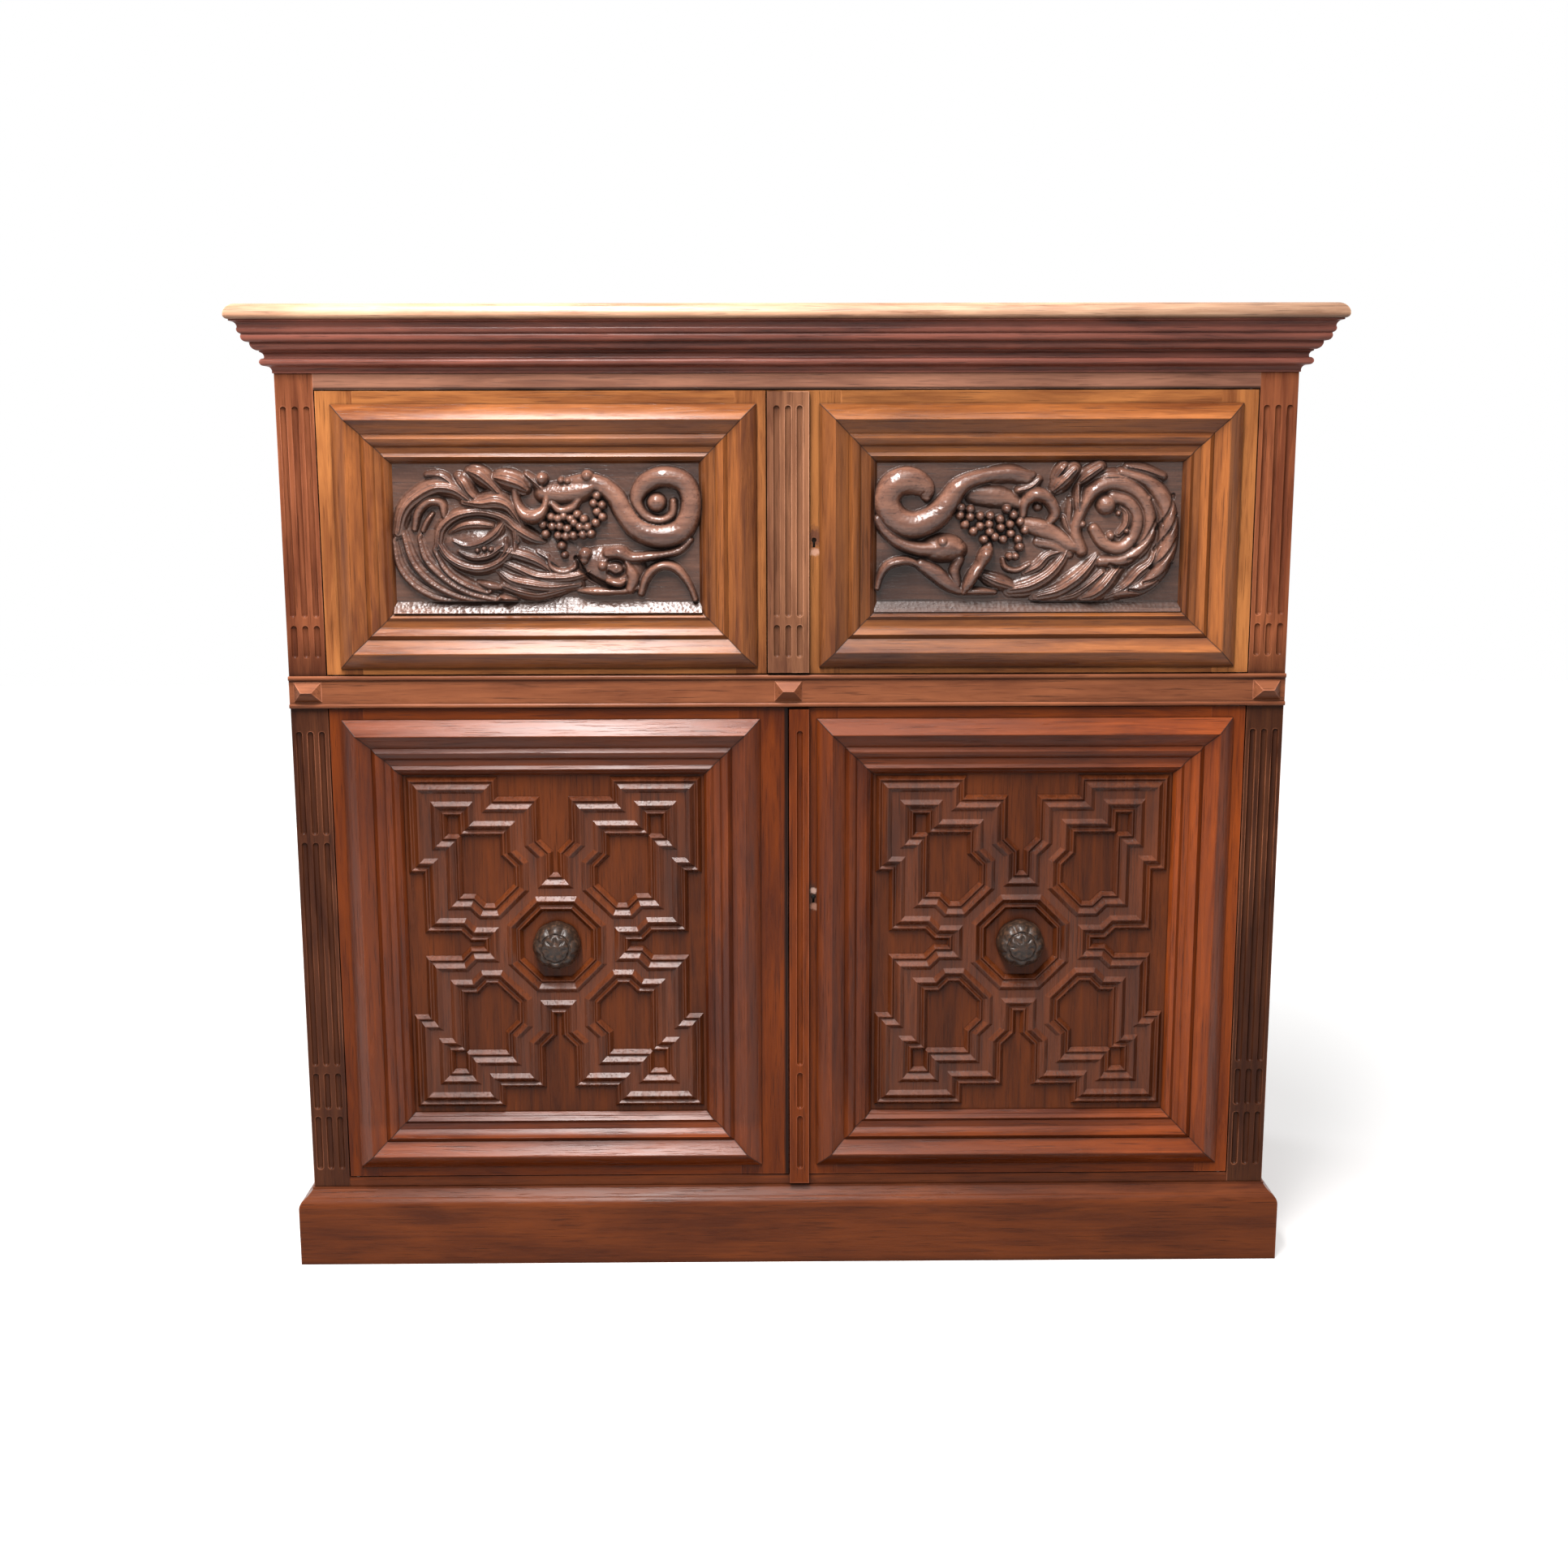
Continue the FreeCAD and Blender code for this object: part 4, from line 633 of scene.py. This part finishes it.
roll, ridge, leaf, dome = map(stroke_of, ("roll", "ridge", "leaf", "dome"))
left_strokes = [
    dome((-420, 915, 46, 4), (-385, 915, 60, 5), (-350, 900, 48, 4)),
    dome((-330, 880, 34, 3), (-290, 885, 36, 4), (-260, 880, 26, 3)),
    leaf((-468, 913.5, 6.5, 4), (-461, 886.5, 10, 7), (-446, 867.5, 11.5, 8), (-422, 853.5, 11.5, 7),
        (-395, 846.5, 8.5, 5)),
    leaf((-456, 926.5, 8.5, 6), (-444, 893.5, 11.5, 10), (-424, 871.5, 13, 11), (-397, 855.5, 11.5, 10),
        (-362, 845.5, 8.5, 6)),
    leaf((-436, 916.5, 8.5, 7), (-427, 894.5, 11.5, 11), (-406, 874.5, 13, 12), (-381, 858.5, 11.5, 11),
        (-352, 848.5, 8.5, 7)),
    leaf((-418, 903.5, 8.5, 8), (-403, 881.5, 11.5, 12), (-383, 867.5, 11.5, 12), (-362, 857.5, 8.5, 8)),
    roll((-372, 864.5, 4, 6.5), (-358, 860.5, 6, 9.5), (-346, 858.5, 4, 7.5)),
    ridge((-466, 923.5, 9, 8.5), (-458, 948.5, 12, 12.5), (-443, 964.5, 13.5, 15), (-420, 976.5, 13.5, 15),
        (-398, 974.5, 12, 13.5), (-380, 962.5, 9, 11)),
    roll((-446, 928.5, 4.5, 8), (-441, 948.5, 6, 10), (-428, 960.5, 6, 11.5), (-413, 958.5, 6, 10),
        (-410, 943.5, 4.5, 9)),
    roll((-436, 926.5, 4, 7.5), (-431, 936.5, 4, 9.5), (-424, 946.5, 3, 7.5)),
    ridge((-325, 913.5, 7.5, 8), (-328, 931.5, 9, 10.5), (-344, 943.5, 9, 12.5), (-370, 948.5, 9, 12.5),
        (-396, 943.5, 10.5, 14), (-414, 928.5, 10.5, 12.5), (-419, 906.5, 9, 10.5)),
    dome((-402, 910, 20, 7), (-372, 908, 30, 9), (-345, 908, 20, 7)),
    ridge((-418, 912, 7, 11), (-408, 896, 9, 13), (-390, 885, 10, 14.5), (-368, 881, 10, 14),
        (-347, 888, 9, 13), (-332, 902, 8, 11)),
    ridge((-400, 914, 5, 8), (-384, 908, 8, 11), (-366, 912, 9, 12), (-350, 922, 9, 11), (-340, 936, 6, 8),
        lift=2),
    ridge((-404, 924, 5, 7), (-388, 932, 8, 11), (-370, 934, 9, 11), (-354, 932, 7, 8), lift=2),
    ridge((-394, 902, 5, 8), (-378, 895, 8, 11), (-358, 897, 8, 11), (-341, 908, 6, 8), lift=2),
    *knobs(5, (-371, 903, 4, 8), (-363, 905, 4, 8), (-355, 904, 4, 8)),
    *knobs(4, (-367, 898, 3.5, 7), (-359, 898, 3.5, 7)),
    ridge((-346, 892.5, 5, 9), (-338, 902.5, 6.5, 11), (-338, 916.5, 5, 9)),
    ridge((-336, 890.5, 5, 7.5), (-328, 901.5, 6.5, 10), (-327, 914.5, 5, 7.5)),
    ridge((-392, 988.5, 8.5, 7.5), (-386, 982.5, 11.5, 14.5), (-381, 972.5, 10, 12), (-374, 964.5, 8.5, 11)),
    ridge((-380, 996.5, 6.5, 7.5), (-367, 991.5, 13, 15.5), (-354, 980.5, 10, 12), (-345, 970.5, 8.5, 10)),
    ridge((-348, 988.5, 8.5, 9), (-334, 985.5, 15, 16.5), (-320, 980.5, 13, 14.5), (-312, 974.5, 6.5, 9)),
    ridge((-386, 960.5, 8.5, 10), (-366, 958.5, 13, 15.5), (-348, 960.5, 16.5, 17.5),
        (-334, 955.5, 13, 14.5), (-324, 942.5, 10, 10), (-318, 930.5, 6.5, 6.5)),
    ridge((-352, 946.5, 6.5, 6.5), (-338, 938.5, 10, 10), (-322, 926.5, 11.5, 11), (-305, 916.5, 10, 9),
        (-292, 912.5, 5, 5.5)),
    roll((-326, 974.5, 5, 8.5), (-323, 956.5, 6, 10.5), (-314, 944.5, 8, 14.5), (-301, 942.5, 9, 17),
        (-291, 951.5, 6, 12.5), (-288, 966.5, 5, 9.5), (-294, 977.5, 4, 8.5)),
    dome((-292, 970, 12, 9), (-270, 970, 16, 11), (-248, 973, 15, 12), (-234, 978, 10, 11)),
    *knobs(2, (-293, 987, 8, 11), (-270, 985, 5, 9), (-262, 984, 5, 9), (-239, 990, 8, 12)),
    roll((-262, 982, 8, 7), (-240, 984, 10, 10), (-222, 979, 11, 11), (-206, 965, 12, 12),
        (-195, 946, 13, 13), (-180, 928, 14, 14), (-155, 919, 15, 15), (-130, 925, 15, 14),
        (-118, 944, 14, 13), (-116, 966, 13, 13), (-127, 984, 13, 13), (-150, 989, 13, 14),
        (-170, 981, 12, 12), (-181, 964, 9, 9), (-177, 950, 7, 8), (-166, 940, 7, 8), (-150, 938, 6, 9),
        (-138, 946, 6, 9), (-137, 960, 5, 9)),
    *knobs(1, (-157, 959, 12, 11)),
    *knobs(2, (-271, 908, 6, 9), (-268, 897, 5, 8)),
    roll((-288, 896.5, 3, 6.5), (-284, 882.5, 4, 8.5), (-270, 876.5, 5, 9.5), (-256, 882.5, 4, 8.5),
        (-252, 894.5, 3, 6.5)),
    ridge((-352, 903.5, 6.5, 7.5), (-326, 898.5, 11.5, 11), (-305, 891.5, 11.5, 11), (-290, 882.5, 8.5, 9),
        (-282, 872.5, 5, 6.5)),
    ridge((-350, 891.5, 6.5, 6.5), (-325, 881.5, 10, 10), (-300, 871.5, 11.5, 11), (-268, 870.5, 11.5, 13),
        (-246, 874.5, 8.5, 11), (-234, 880.5, 5, 6.5)),
    ridge((-348, 878.5, 6.5, 6.5), (-332, 867.5, 11.5, 11), (-310, 862.5, 13, 15.5), (-284, 859.5, 11.5, 13),
        (-252, 862.5, 8.5, 7.5)),
    ridge((-342, 860.5, 8.5, 6.5), (-322, 854.5, 10, 13), (-300, 850.5, 10, 10), (-278, 854.5, 8.5, 9),
        (-262, 858.5, 6.5, 6.5)),
    ridge((-346, 846.5, 5, 7.5), (-339, 845, 6.5, 12), (-328, 844.5, 5, 7.5)),
    dome((-232, 885, 22, 8), (-208, 882, 26, 11), (-190, 876, 22, 9)),
    roll((-216, 898.5, 8, 11.5), (-202, 899.5, 9, 16), (-188, 893.5, 7, 12.5), (-165, 895.5, 6, 13.5),
        (-148, 897.5, 5, 11.5), (-130, 902.5, 5, 8.5), (-117, 914.5, 4, 6.5)),
    *knobs(4, (-243, 898, 8, 10), (-244, 891, 6, 8)),
    roll((-194, 884.5, 8, 12.5), (-186, 870.5, 9, 13.5), (-190, 856.5, 7, 11.5)),
    roll((-252, 854.5, 3, 5), (-235, 853.5, 5, 9.5), (-215, 853.5, 5, 10.5), (-195, 854.5, 5, 9.5),
        (-180, 858.5, 4, 7.5)),
    *grooves(9, 4, [(-254, 893), (-248, 880), (-238, 871), (-224, 863), (-214, 859)]),
    *grooves(5, 4, [(-214, 889), (-204, 890), (-196, 884), (-197, 876), (-207, 872), (-215, 876)]),
    *knobs(8, (-222, 884, 6, 8)),
    *knobs(6, (-206, 881, 5, 6)),
    roll((-216, 866.5, 4, 10.5), (-210, 864.5, 5, 13.5), (-201, 863.5, 5, 13.5), (-196, 866.5, 3, 10.5),
        lift=2),
    roll((-177, 851.5, 5, 8.5), (-172, 866.5, 6, 11.5), (-163, 878.5, 6, 13.5), (-150, 884.5, 6, 13.5),
        (-136, 881.5, 6, 12.5), (-125, 870.5, 5, 10.5), (-117, 856.5, 4, 8.5), (-112, 843.5, 4, 6.5)),
    ridge((-300, 900, 6, 6), (-288, 893, 7.5, 8), (-276, 884, 5, 6)),
    ridge((-430, 992, 5, 5), (-412, 990, 7.5, 8), (-396, 978, 6, 9)),
    ridge((-312, 992, 5, 7), (-300, 982, 7.5, 9), (-290, 972, 7.5, 9)),
    roll((-282, 958, 5, 9), (-272, 950, 6, 10), (-258, 953, 6, 10), (-250, 962, 5, 9)),
]
left_grapes = [
    (-283, 942), (-275, 940), (-268, 943), (-260, 940), (-252, 945), (-244, 939), (-293, 933),
    (-282, 931), (-273, 931), (-264, 928), (-256, 935), (-249, 930), (-240, 930), (-230, 935),
    (-290, 922), (-275, 920), (-266, 919), (-257, 920), (-246, 921), (-236, 922), (-232, 958),
    (-222, 956), (-228, 948), (-228, 967), (-222, 974), (-222, 942)]
left_foot = [(-475, 842), (-300, 842), (-282, 844.5), (-265, 847.5), (-252, 846), (-243, 842), (-104, 841)]

# %% Strokes of the right panel
right_strokes = [
    dome((360, 915, 50, 4), (395, 930, 66, 5), (425, 930, 46, 4)),
    dome((290, 890, 34, 4), (330, 885, 40, 4)),
    dome((396, 849, 8, 7), (424, 857, 11, 11), (445, 877, 13, 14), (456, 908, 13, 14), (455, 942, 13, 14),
        (444, 967, 13, 13), (426, 983, 11, 12), (398, 993, 8, 9)),
    ridge((440, 888.5, 6.5, 8), (448, 913.5, 6.5, 10), (446, 940.5, 6.5, 10), (436, 960.5, 6.5, 9)),
    dome((352, 900.5, 10.2, 11.5), (344, 923.5, 10.2, 12.5), (351, 948.5, 10.2, 12.5), (364, 970.5, 12, 14),
        (386, 980.5, 13.8, 12.5), (412, 973.5, 13.8, 12.5), (429, 953.5, 12, 11.5), (433, 928.5, 12, 11.5),
        (424, 904.5, 12, 11.5), (402, 889.5, 12, 11.5), (376, 887.5, 10.2, 10)),
    roll((366, 926.5, 7.8, 9.5), (378, 910.5, 9.1, 10.5), (398, 903.5, 9.1, 11.5), (414, 918.5, 9.1, 10.5),
        (418, 940.5, 9.1, 10.5), (406, 958.5, 9.1, 11.5), (388, 964.5, 9.1, 10.5), lift=1),
    ridge((396, 920.5, 9, 8), (404, 930.5, 9, 10.5), (405, 944.5, 9, 10.5), (398, 952.5, 6.6, 8), lift=1),
    *knobs(2, (380, 955, 13, 13)),
    *knobs(3, (386, 918, 6, 10), (405, 924, 4, 9), (395, 945, 4, 8), (352, 932, 5, 9)),
    ridge((346, 978.5, 5.5, 9.5), (346, 958.5, 7.5, 13.5), (348, 941.5, 5.5, 10.5)),
    ridge((338, 960.5, 5.5, 7), (337, 943.5, 7.5, 9.5), (338, 924.5, 5.5, 7)),
    *knobs(2, (430, 962, 6, 8), (432, 945, 4, 8)),
    ridge((318, 972.5, 7.5, 7), (328, 983.5, 13, 16.5), (341, 996.5, 11, 15)),
    ridge((320, 986.5, 7.5, 7), (326, 995.5, 9.5, 12.5), (330, 1000.5, 7.5, 10.5)),
    ridge((349, 982.5, 7.5, 8), (358, 990.5, 11, 15), (372, 999.5, 9.5, 12.5)),
    ridge((366, 983.5, 7.5, 7), (384, 988.5, 11, 11.5), (404, 986.5, 9.5, 9.5)),
    ridge((268, 854.5, 10.9, 7), (290, 859.5, 14.9, 12.5), (312, 871.5, 14.9, 12.5),
        (327, 887.5, 12.6, 11.5), (335, 901.5, 8.6, 8)),
    ridge((285, 874.5, 8.6, 7), (300, 882.5, 12.6, 10.5), (312, 894.5, 10.9, 9.5), (330, 900.5, 10.9, 8)),
    ridge((300, 846.5, 10.9, 7), (325, 853.5, 14.9, 11.5), (345, 866.5, 14.9, 16.5),
        (360, 880.5, 12.6, 11.5), (371, 894.5, 8.6, 7)),
    ridge((330, 844.5, 8.6, 6), (345, 849.5, 10.9, 9.5), (362, 860.5, 10.9, 9.5), (378, 874.5, 10.9, 9.5)),
    ridge((355, 844.5, 8.6, 7), (367, 848.5, 12.6, 12.5), (379, 858.5, 14.9, 16.5), (393, 875.5, 12.6, 11.5),
        (406, 890.5, 8.6, 8)),
    ridge((384, 846.5, 8.6, 6), (405, 856.5, 12.6, 9.5), (422, 874.5, 14.9, 11.5), (436, 886.5, 10.9, 10.5),
        (442, 903.5, 8.6, 7)),
    ridge((236, 870.5, 7.5, 7), (250, 864.5, 11, 12.5), (265, 859.5, 9.5, 9.5), (278, 854.5, 5.5, 6)),
    roll((284, 932.5, 9.1, 7.5), (304, 926.5, 11.7, 10.5), (322, 918.5, 10.4, 9.5), (340, 906.5, 9.1, 10.5),
        (352, 904.5, 6.5, 8.5)),
    roll((300, 910.5, 7.2, 6.5), (318, 906.5, 7.2, 8.5), (338, 895.5, 6, 7.5)),
    dome((224, 968, 14, 6), (244, 966, 15, 7), (262, 962, 12, 6), (276, 956, 8, 5)),
    dome((246, 990, 12, 8), (266, 992, 12, 8), (286, 986, 10, 7)),
    roll((292, 990, 5, 5), (266, 993, 7, 8), (240, 990, 9, 10), (218, 984, 10, 13), (203, 975, 12, 15),
        (192, 959, 14, 15), (176, 941, 16, 16), (150, 931, 17, 16), (128, 939, 17, 15), (118, 959, 17, 15),
        (126, 978, 17, 16), (145, 984, 17, 15), (163, 976, 12, 11), (166, 964, 6, 6)),
    roll((281, 942.5, 5, 7.5), (284, 958.5, 7, 10.5), (297, 967.5, 9, 16), (312, 960.5, 8, 12.5),
        (320, 945.5, 7, 10.5), (314, 934.5, 5, 7.5)),
    *knobs(0, (299, 953, 6, 7)),
    roll((107, 938.5, 6, 8.5), (116, 924.5, 7, 9.5), (134, 910.5, 8, 10.5), (155, 903.5, 9, 11.5),
        (175, 902.5, 10, 11.5)),
    dome((176, 903, 17, 11), (190, 904, 18, 15), (204, 902, 12, 12)),
    *knobs(6, (185, 911, 7, 10)),
    roll((160, 884.5, 8, 8.5), (176, 874.5, 10, 9.5), (192, 861.5, 9, 9.5), (206, 853.5, 6, 7.5)),
    roll((206, 890.5, 6, 7.5), (200, 876.5, 7, 8.5), (204, 860.5, 6, 7.5)),
    roll((241, 907, 5, 9), (237, 896, 9, 18), (231, 884, 7, 13), (223, 872, 8, 16), (216, 860, 7, 14),
        (211, 851, 4, 9)),
    *knobs(3, (278, 905, 6, 9), (266, 894, 5, 8), (273, 894, 5, 8)),
    roll((258, 890.5, 3, 6.5), (262, 880.5, 4, 7.5), (275, 877.5, 4, 8.5), (290, 884.5, 4, 7.5)),
    roll((107, 856.5, 4, 8.5), (111, 871.5, 5, 10.5), (120, 883.5, 6, 13.5), (135, 888.5, 6, 14.5),
        (149, 887.5, 5, 10.5), (160, 881.5, 4, 7.5)),
    roll((206, 851.5, 4, 5), (228, 852.5, 5, 9.5), (249, 851.5, 4, 6.5)),
    ridge((300, 985, 5.5, 6.5), (290, 976, 8.5, 8.5), (276, 972, 6.5, 8.5)),
    ridge((405, 1000, 5.5, 6.5), (425, 996, 8.5, 8.5), (448, 988, 6.5, 7.5)),
    ridge((330, 940, 5.5, 7.5), (336, 925, 6.5, 9.5), (348, 912, 6.5, 9.5)),
    *grooves(4, 3, [(428, 862), (440, 866), (452, 874), (462, 886)],
        [(436, 880), (447, 888), (457, 900), (466, 914)],
        [(440, 902), (450, 914), (460, 930), (466, 942)],
        [(441, 926), (450, 938), (458, 954), (462, 966)],
        [(411, 853), (424, 852), (436, 856), (446, 864)]),
    *grooves(3, 3, [(416, 906), (426, 912), (434, 924), (440, 936)],
        [(408, 890), (419, 892), (428, 900), (436, 910)],
        [(386, 884), (398, 881), (410, 884), (420, 890)]),
]
right_grapes = [
    (218, 950), (206, 943), (218, 941), (230, 942), (242, 942), (254, 938), (270, 943), (212, 932),
    (230, 930), (241, 932), (255, 928), (266, 932), (278, 935), (284, 925), (222, 924), (242, 923),
    (235, 914), (248, 917), (258, 914), (267, 921), (276, 914), (207, 952), (262, 950)]
right_foot = [(104, 841), (250, 841), (475, 839)]

# %% Turn a relief into a closed piece of wood
def relief_piece(name, relief, face):
    """A shell: the carved front at face - height, a flat back at face + back_depth, and four sides between.

    The grid's rows and columns get one more on each side that lies on the back, so that one grid of quads
    makes front and sides, and its rim closes on a single back polygon."""
    x = np.concatenate([relief["x"][:1], relief["x"], relief["x"][-1:]])
    z = np.concatenate([relief["z"][:1], relief["z"], relief["z"][-1:]])
    height = np.pad(relief["height"], 1, constant_values=-back_depth)
    place_x, place_z = np.meshgrid(x, z)
    points = np.stack([place_x, face - height, place_z], -1) / 1000
    rows, columns = height.shape
    index = np.arange(rows * columns).reshape(rows, columns)
    quads = np.stack([index[:-1, :-1], index[:-1, 1:], index[1:, 1:], index[1:, :-1]], -1).reshape(-1, 4)
    rim = np.concatenate([index[0, :-1], index[:-1, -1], index[-1, :0:-1], index[:0:-1, 0]])[::-1]
    return mesh_piece(name, points, quads.tolist() + [rim.tolist()], smooth=len(quads))


panel_near, panel_far, panel_low, panel_high = 103.5, 475.0, 827.0, 1008.0
panel_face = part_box("upper_left_panel")[0].y * 1000
# Painted shade, with old wax: the carving's colour darkens to half from 14 mm above the panel's face down to 3
# mm.
deep_shade_and_wax = (1, (panel_face - 14) / 1000, (panel_face - 3) / 1000, 0.5)
relief_wood = wood_for("carved", "x", mark="relief", worn=0.3, shine=0.19, gloss=0.38, grime=(0.40, 0.90),
                       tooled=1.6, fades=[deep_shade_and_wax])
for hand, sides, strokes, grapes, foot, foot_rise in (
        ("left", (-panel_far, -panel_near), left_strokes, left_grapes, left_foot, 8.0),
        ("right", (panel_near, panel_far), right_strokes, right_grapes, right_foot, 6.0)):
    relief = carve(blank_relief(*sides, panel_low, panel_high), strokes, grapes, foot, foot_rise)
    piece = relief_piece("upper_" + hand + "_carving", relief, panel_face)
    piece.data.materials.append(relief_wood)
    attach(piece, "upper_" + hand + "_leaf")
    print(hand, "carving:", len(piece.data.polygons), "faces, up to %.1f mm high" % relief["height"].max())

# %% [markdown]
# ## The bosses
# In the middle of each lower panel sits a turned and carved bud, nearly half a ball, with eight petals and
# eight more between them nearer the tip. A revolved outline gives the ball, and waves round it, which grow
# and fade with the distance from the middle, give the petals.

# %% Carve the bosses
def bud(name, centre, radius, rise, around=96, steps=40):
    """A dome on a polar grid: out = rise * sqrt(1 - r^2), plus petals of cosine waves round the axis.

    The outer eight waves are strongest at three quarters of the radius, the inner eight, turned by half a
    petal, at two fifths. The rim runs straight back behind the panel's face, where one polygon closes it."""
    turn = np.linspace(0, 2 * np.pi, around, endpoint=False)[None, :]
    r = np.concatenate([np.linspace(0.02, 1.0, steps), [1.0]])[:, None]
    wave = np.abs(np.cos(4 * turn))
    inner = np.abs(np.cos(4 * turn + np.pi / 2))
    petals = 0.11 * (wave ** 0.8 - 0.6) * np.exp(-((r - 0.78) / 0.16) ** 2)
    petals = petals + 0.08 * (inner ** 0.8 - 0.6) * np.exp(-((r - 0.42) / 0.14) ** 2)
    petals = petals - 0.07 * np.exp(-((r - 0.60) / 0.04) ** 2) + 0.10 * np.exp(-(r / 0.16) ** 2)
    out = rise * np.minimum(0.30 + 0.66 * np.sqrt(np.maximum(1 - r ** 2, 0)) + petals, 0.995)
    out[-1] = -0.001
    wide = radius * (1 - 0.035 * (1 - wave)) * r
    x = centre[0] + wide * np.cos(turn)
    z = centre[2] + wide * np.sin(turn)
    index = np.arange(x.size).reshape(x.shape)
    after = np.roll(index, -1, axis=1)
    quads = np.stack([index[:-1], after[:-1], after[1:], index[1:]], -1).reshape(-1, 4)[:, ::-1]
    faces = quads.tolist() + [index[0].tolist(), index[-1].tolist()[::-1]]
    return mesh_piece(name, np.stack([x, centre[1] - out, z], -1), faces, smooth=len(faces))


hair = 0.0002
for hand in ("left", "right"):
    low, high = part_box("lower_" + hand + "_boss")
    middle = (low + high) / 2
    radius, rise = (high.x - low.x) / 2, high.y - low.y
    piece = bud("lower_" + hand + "_bud", (middle.x, high.y, middle.z), radius - hair, rise)
    piece.data.materials.append(black_wood)
    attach(piece, "lower_" + hand + "_leaf")
    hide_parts("lower_" + hand + "_boss")
    print(piece.name, "radius %.1f mm, rise %.1f mm" % (radius * 1000, rise * 1000))

# %% [markdown]
# ## Camera
# The photograph was taken from a little below the top's height, looking slightly down. The three angles and
# the focal length came from fitting the cupboard's corners, and the camera's own axes follow from them.

# %% Camera
image_side = 1932
focal_pixels = 2200.0
eye = (-0.0263, -2.3646, 0.9981)
pitch, yaw, lean = 0.1747, 0.0096, -0.0021
ahead = Vector((math.sin(yaw) * math.cos(pitch), math.cos(yaw) * math.cos(pitch), -math.sin(pitch)))
right = Vector((math.cos(yaw), -math.sin(yaw), 0.0))
up = right.cross(ahead)
turned_right = math.cos(lean) * right + math.sin(lean) * up
turned_up = -math.sin(lean) * right + math.cos(lean) * up
camera_data = bpy.data.cameras.new("camera")
camera = add_to_scene("camera", camera_data)
axes = Matrix((turned_right, turned_up, -ahead)).transposed().to_4x4()
camera.matrix_world = Matrix.Translation(eye) @ axes
camera_data.sensor_width = 36.0
camera_data.lens = focal_pixels / image_side * camera_data.sensor_width
bpy.context.scene.camera = camera
print("lens %.1f mm" % camera_data.lens)

# %% [markdown]
# ## Floor, background and light
# The cupboard stands on a pale floor before white. A long ceiling light left of the middle gives the
# shine on the upward faces of the left doors' mouldings: its near end serves the upper door and its far end
# the lower one. Two weaker ones serve the right doors, and a broad dim lamp from the front fills the rest. Two
# more, behind the line of the front, show the sides and the back and never reach the doors.

# %% Floor and background
def white_to_camera(tree, plain, seen):
    """Mix two shaders: plain lights the object, seen shows to the camera and in shiny and clear things."""
    seen_by = [add_node(tree, "LightPath", output=way)
               for way in ("Is Camera Ray", "Is Glossy Ray", "Is Transmission Ray")]
    paths = math_node(tree, "MAXIMUM", math_node(tree, "MAXIMUM", seen_by[0], seen_by[1]), seen_by[2])
    return add_node(tree, "MixShader", {0: paths, 1: plain, 2: seen})


floor_reach, glow_start, glow_end, least_glow, room_light = 6.0, 0.9, 2.4, 0.42, 0.16
corners = floor_reach * np.array([(-1, -1, 0), (1, -1, 0), (1, 1, 0), (-1, 1, 0)])
floor = mesh_piece("floor", corners, [(0, 1, 2, 3)])
floor_material = bpy.data.materials.new("floor_white")
floor_material.use_nodes = True
tree = floor_material.node_tree
tree.nodes.clear()
dull = add_node(tree, "BsdfDiffuse", {0: (0.24, 0.22, 0.20, 1)})
matt = add_node(tree, "BsdfDiffuse", {0: (0.6, 0.6, 0.6, 1)})
distance = add_node(tree, "VectorMath", {0: object_place(tree)}, output=1, operation="LENGTH")
strength = remap(tree, distance, glow_start, glow_end, least_glow, 1.0)
glow = add_node(tree, "Emission", {0: (1, 1, 1, 1), 1: strength})
lit = add_node(tree, "AddShader", {0: matt, 1: glow})
add_node(tree, "OutputMaterial", {"Surface": white_to_camera(tree, dull, lit)})
floor.data.materials.append(floor_material)

world = bpy.data.worlds.new("world")
bpy.context.scene.world = world
world.use_nodes = True
tree = world.node_tree
tree.nodes.clear()
room = add_node(tree, "Background", {0: (1.0, 0.97, 0.94, 1), 1: room_light})
white = add_node(tree, "Background", {0: (1, 1, 1, 1), 1: 1.0})
add_node(tree, "OutputWorld", {"Surface": white_to_camera(tree, room, white)})

# %% Lights
def softbox(name, place, target, width, height, watts, colour=(1, 1, 1)):
    """A rectangular lamp at place that faces target."""
    lamp = bpy.data.lights.new(name, "AREA")
    lamp.shape = "RECTANGLE"
    lamp.size, lamp.size_y = width, height
    lamp.energy = watts
    lamp.color = colour
    aim = (Vector(target) - Vector(place)).to_track_quat("-Z", "Y")
    add_to_scene(name, lamp).matrix_world = Matrix.Translation(place) @ aim.to_matrix().to_4x4()


ceiling, in_front, length = 2.55, -1.55, 2.15
for name, x, width, watts, colour in (
        ("ceiling_light", -0.44, 0.5, 180, (1.0, 0.96, 0.95)),
        ("ceiling_light_middle", 0.33, 0.5, 18, (1.0, 0.96, 0.93)),
        ("ceiling_light_right", 0.65, 1.1, 7, (1.0, 0.95, 0.90))):
    softbox(name, (x, in_front, ceiling), (x, in_front, 0.0), width, length, watts, colour)
for hand, side in (("left", -1), ("right", 1)):
    softbox("back_fill_" + hand, (2.9 * side, 1.9, 1.7), (0.35 * side, 0.1, 0.55), 1.6, 1.6, 55)
softbox("front_fill", (0.4, -3.6, 1.9), (0, 0, 0.55), 2.6, 1.8, 6, (1.0, 0.96, 0.92))

bpy.context.scene.view_settings.view_transform = "Standard"
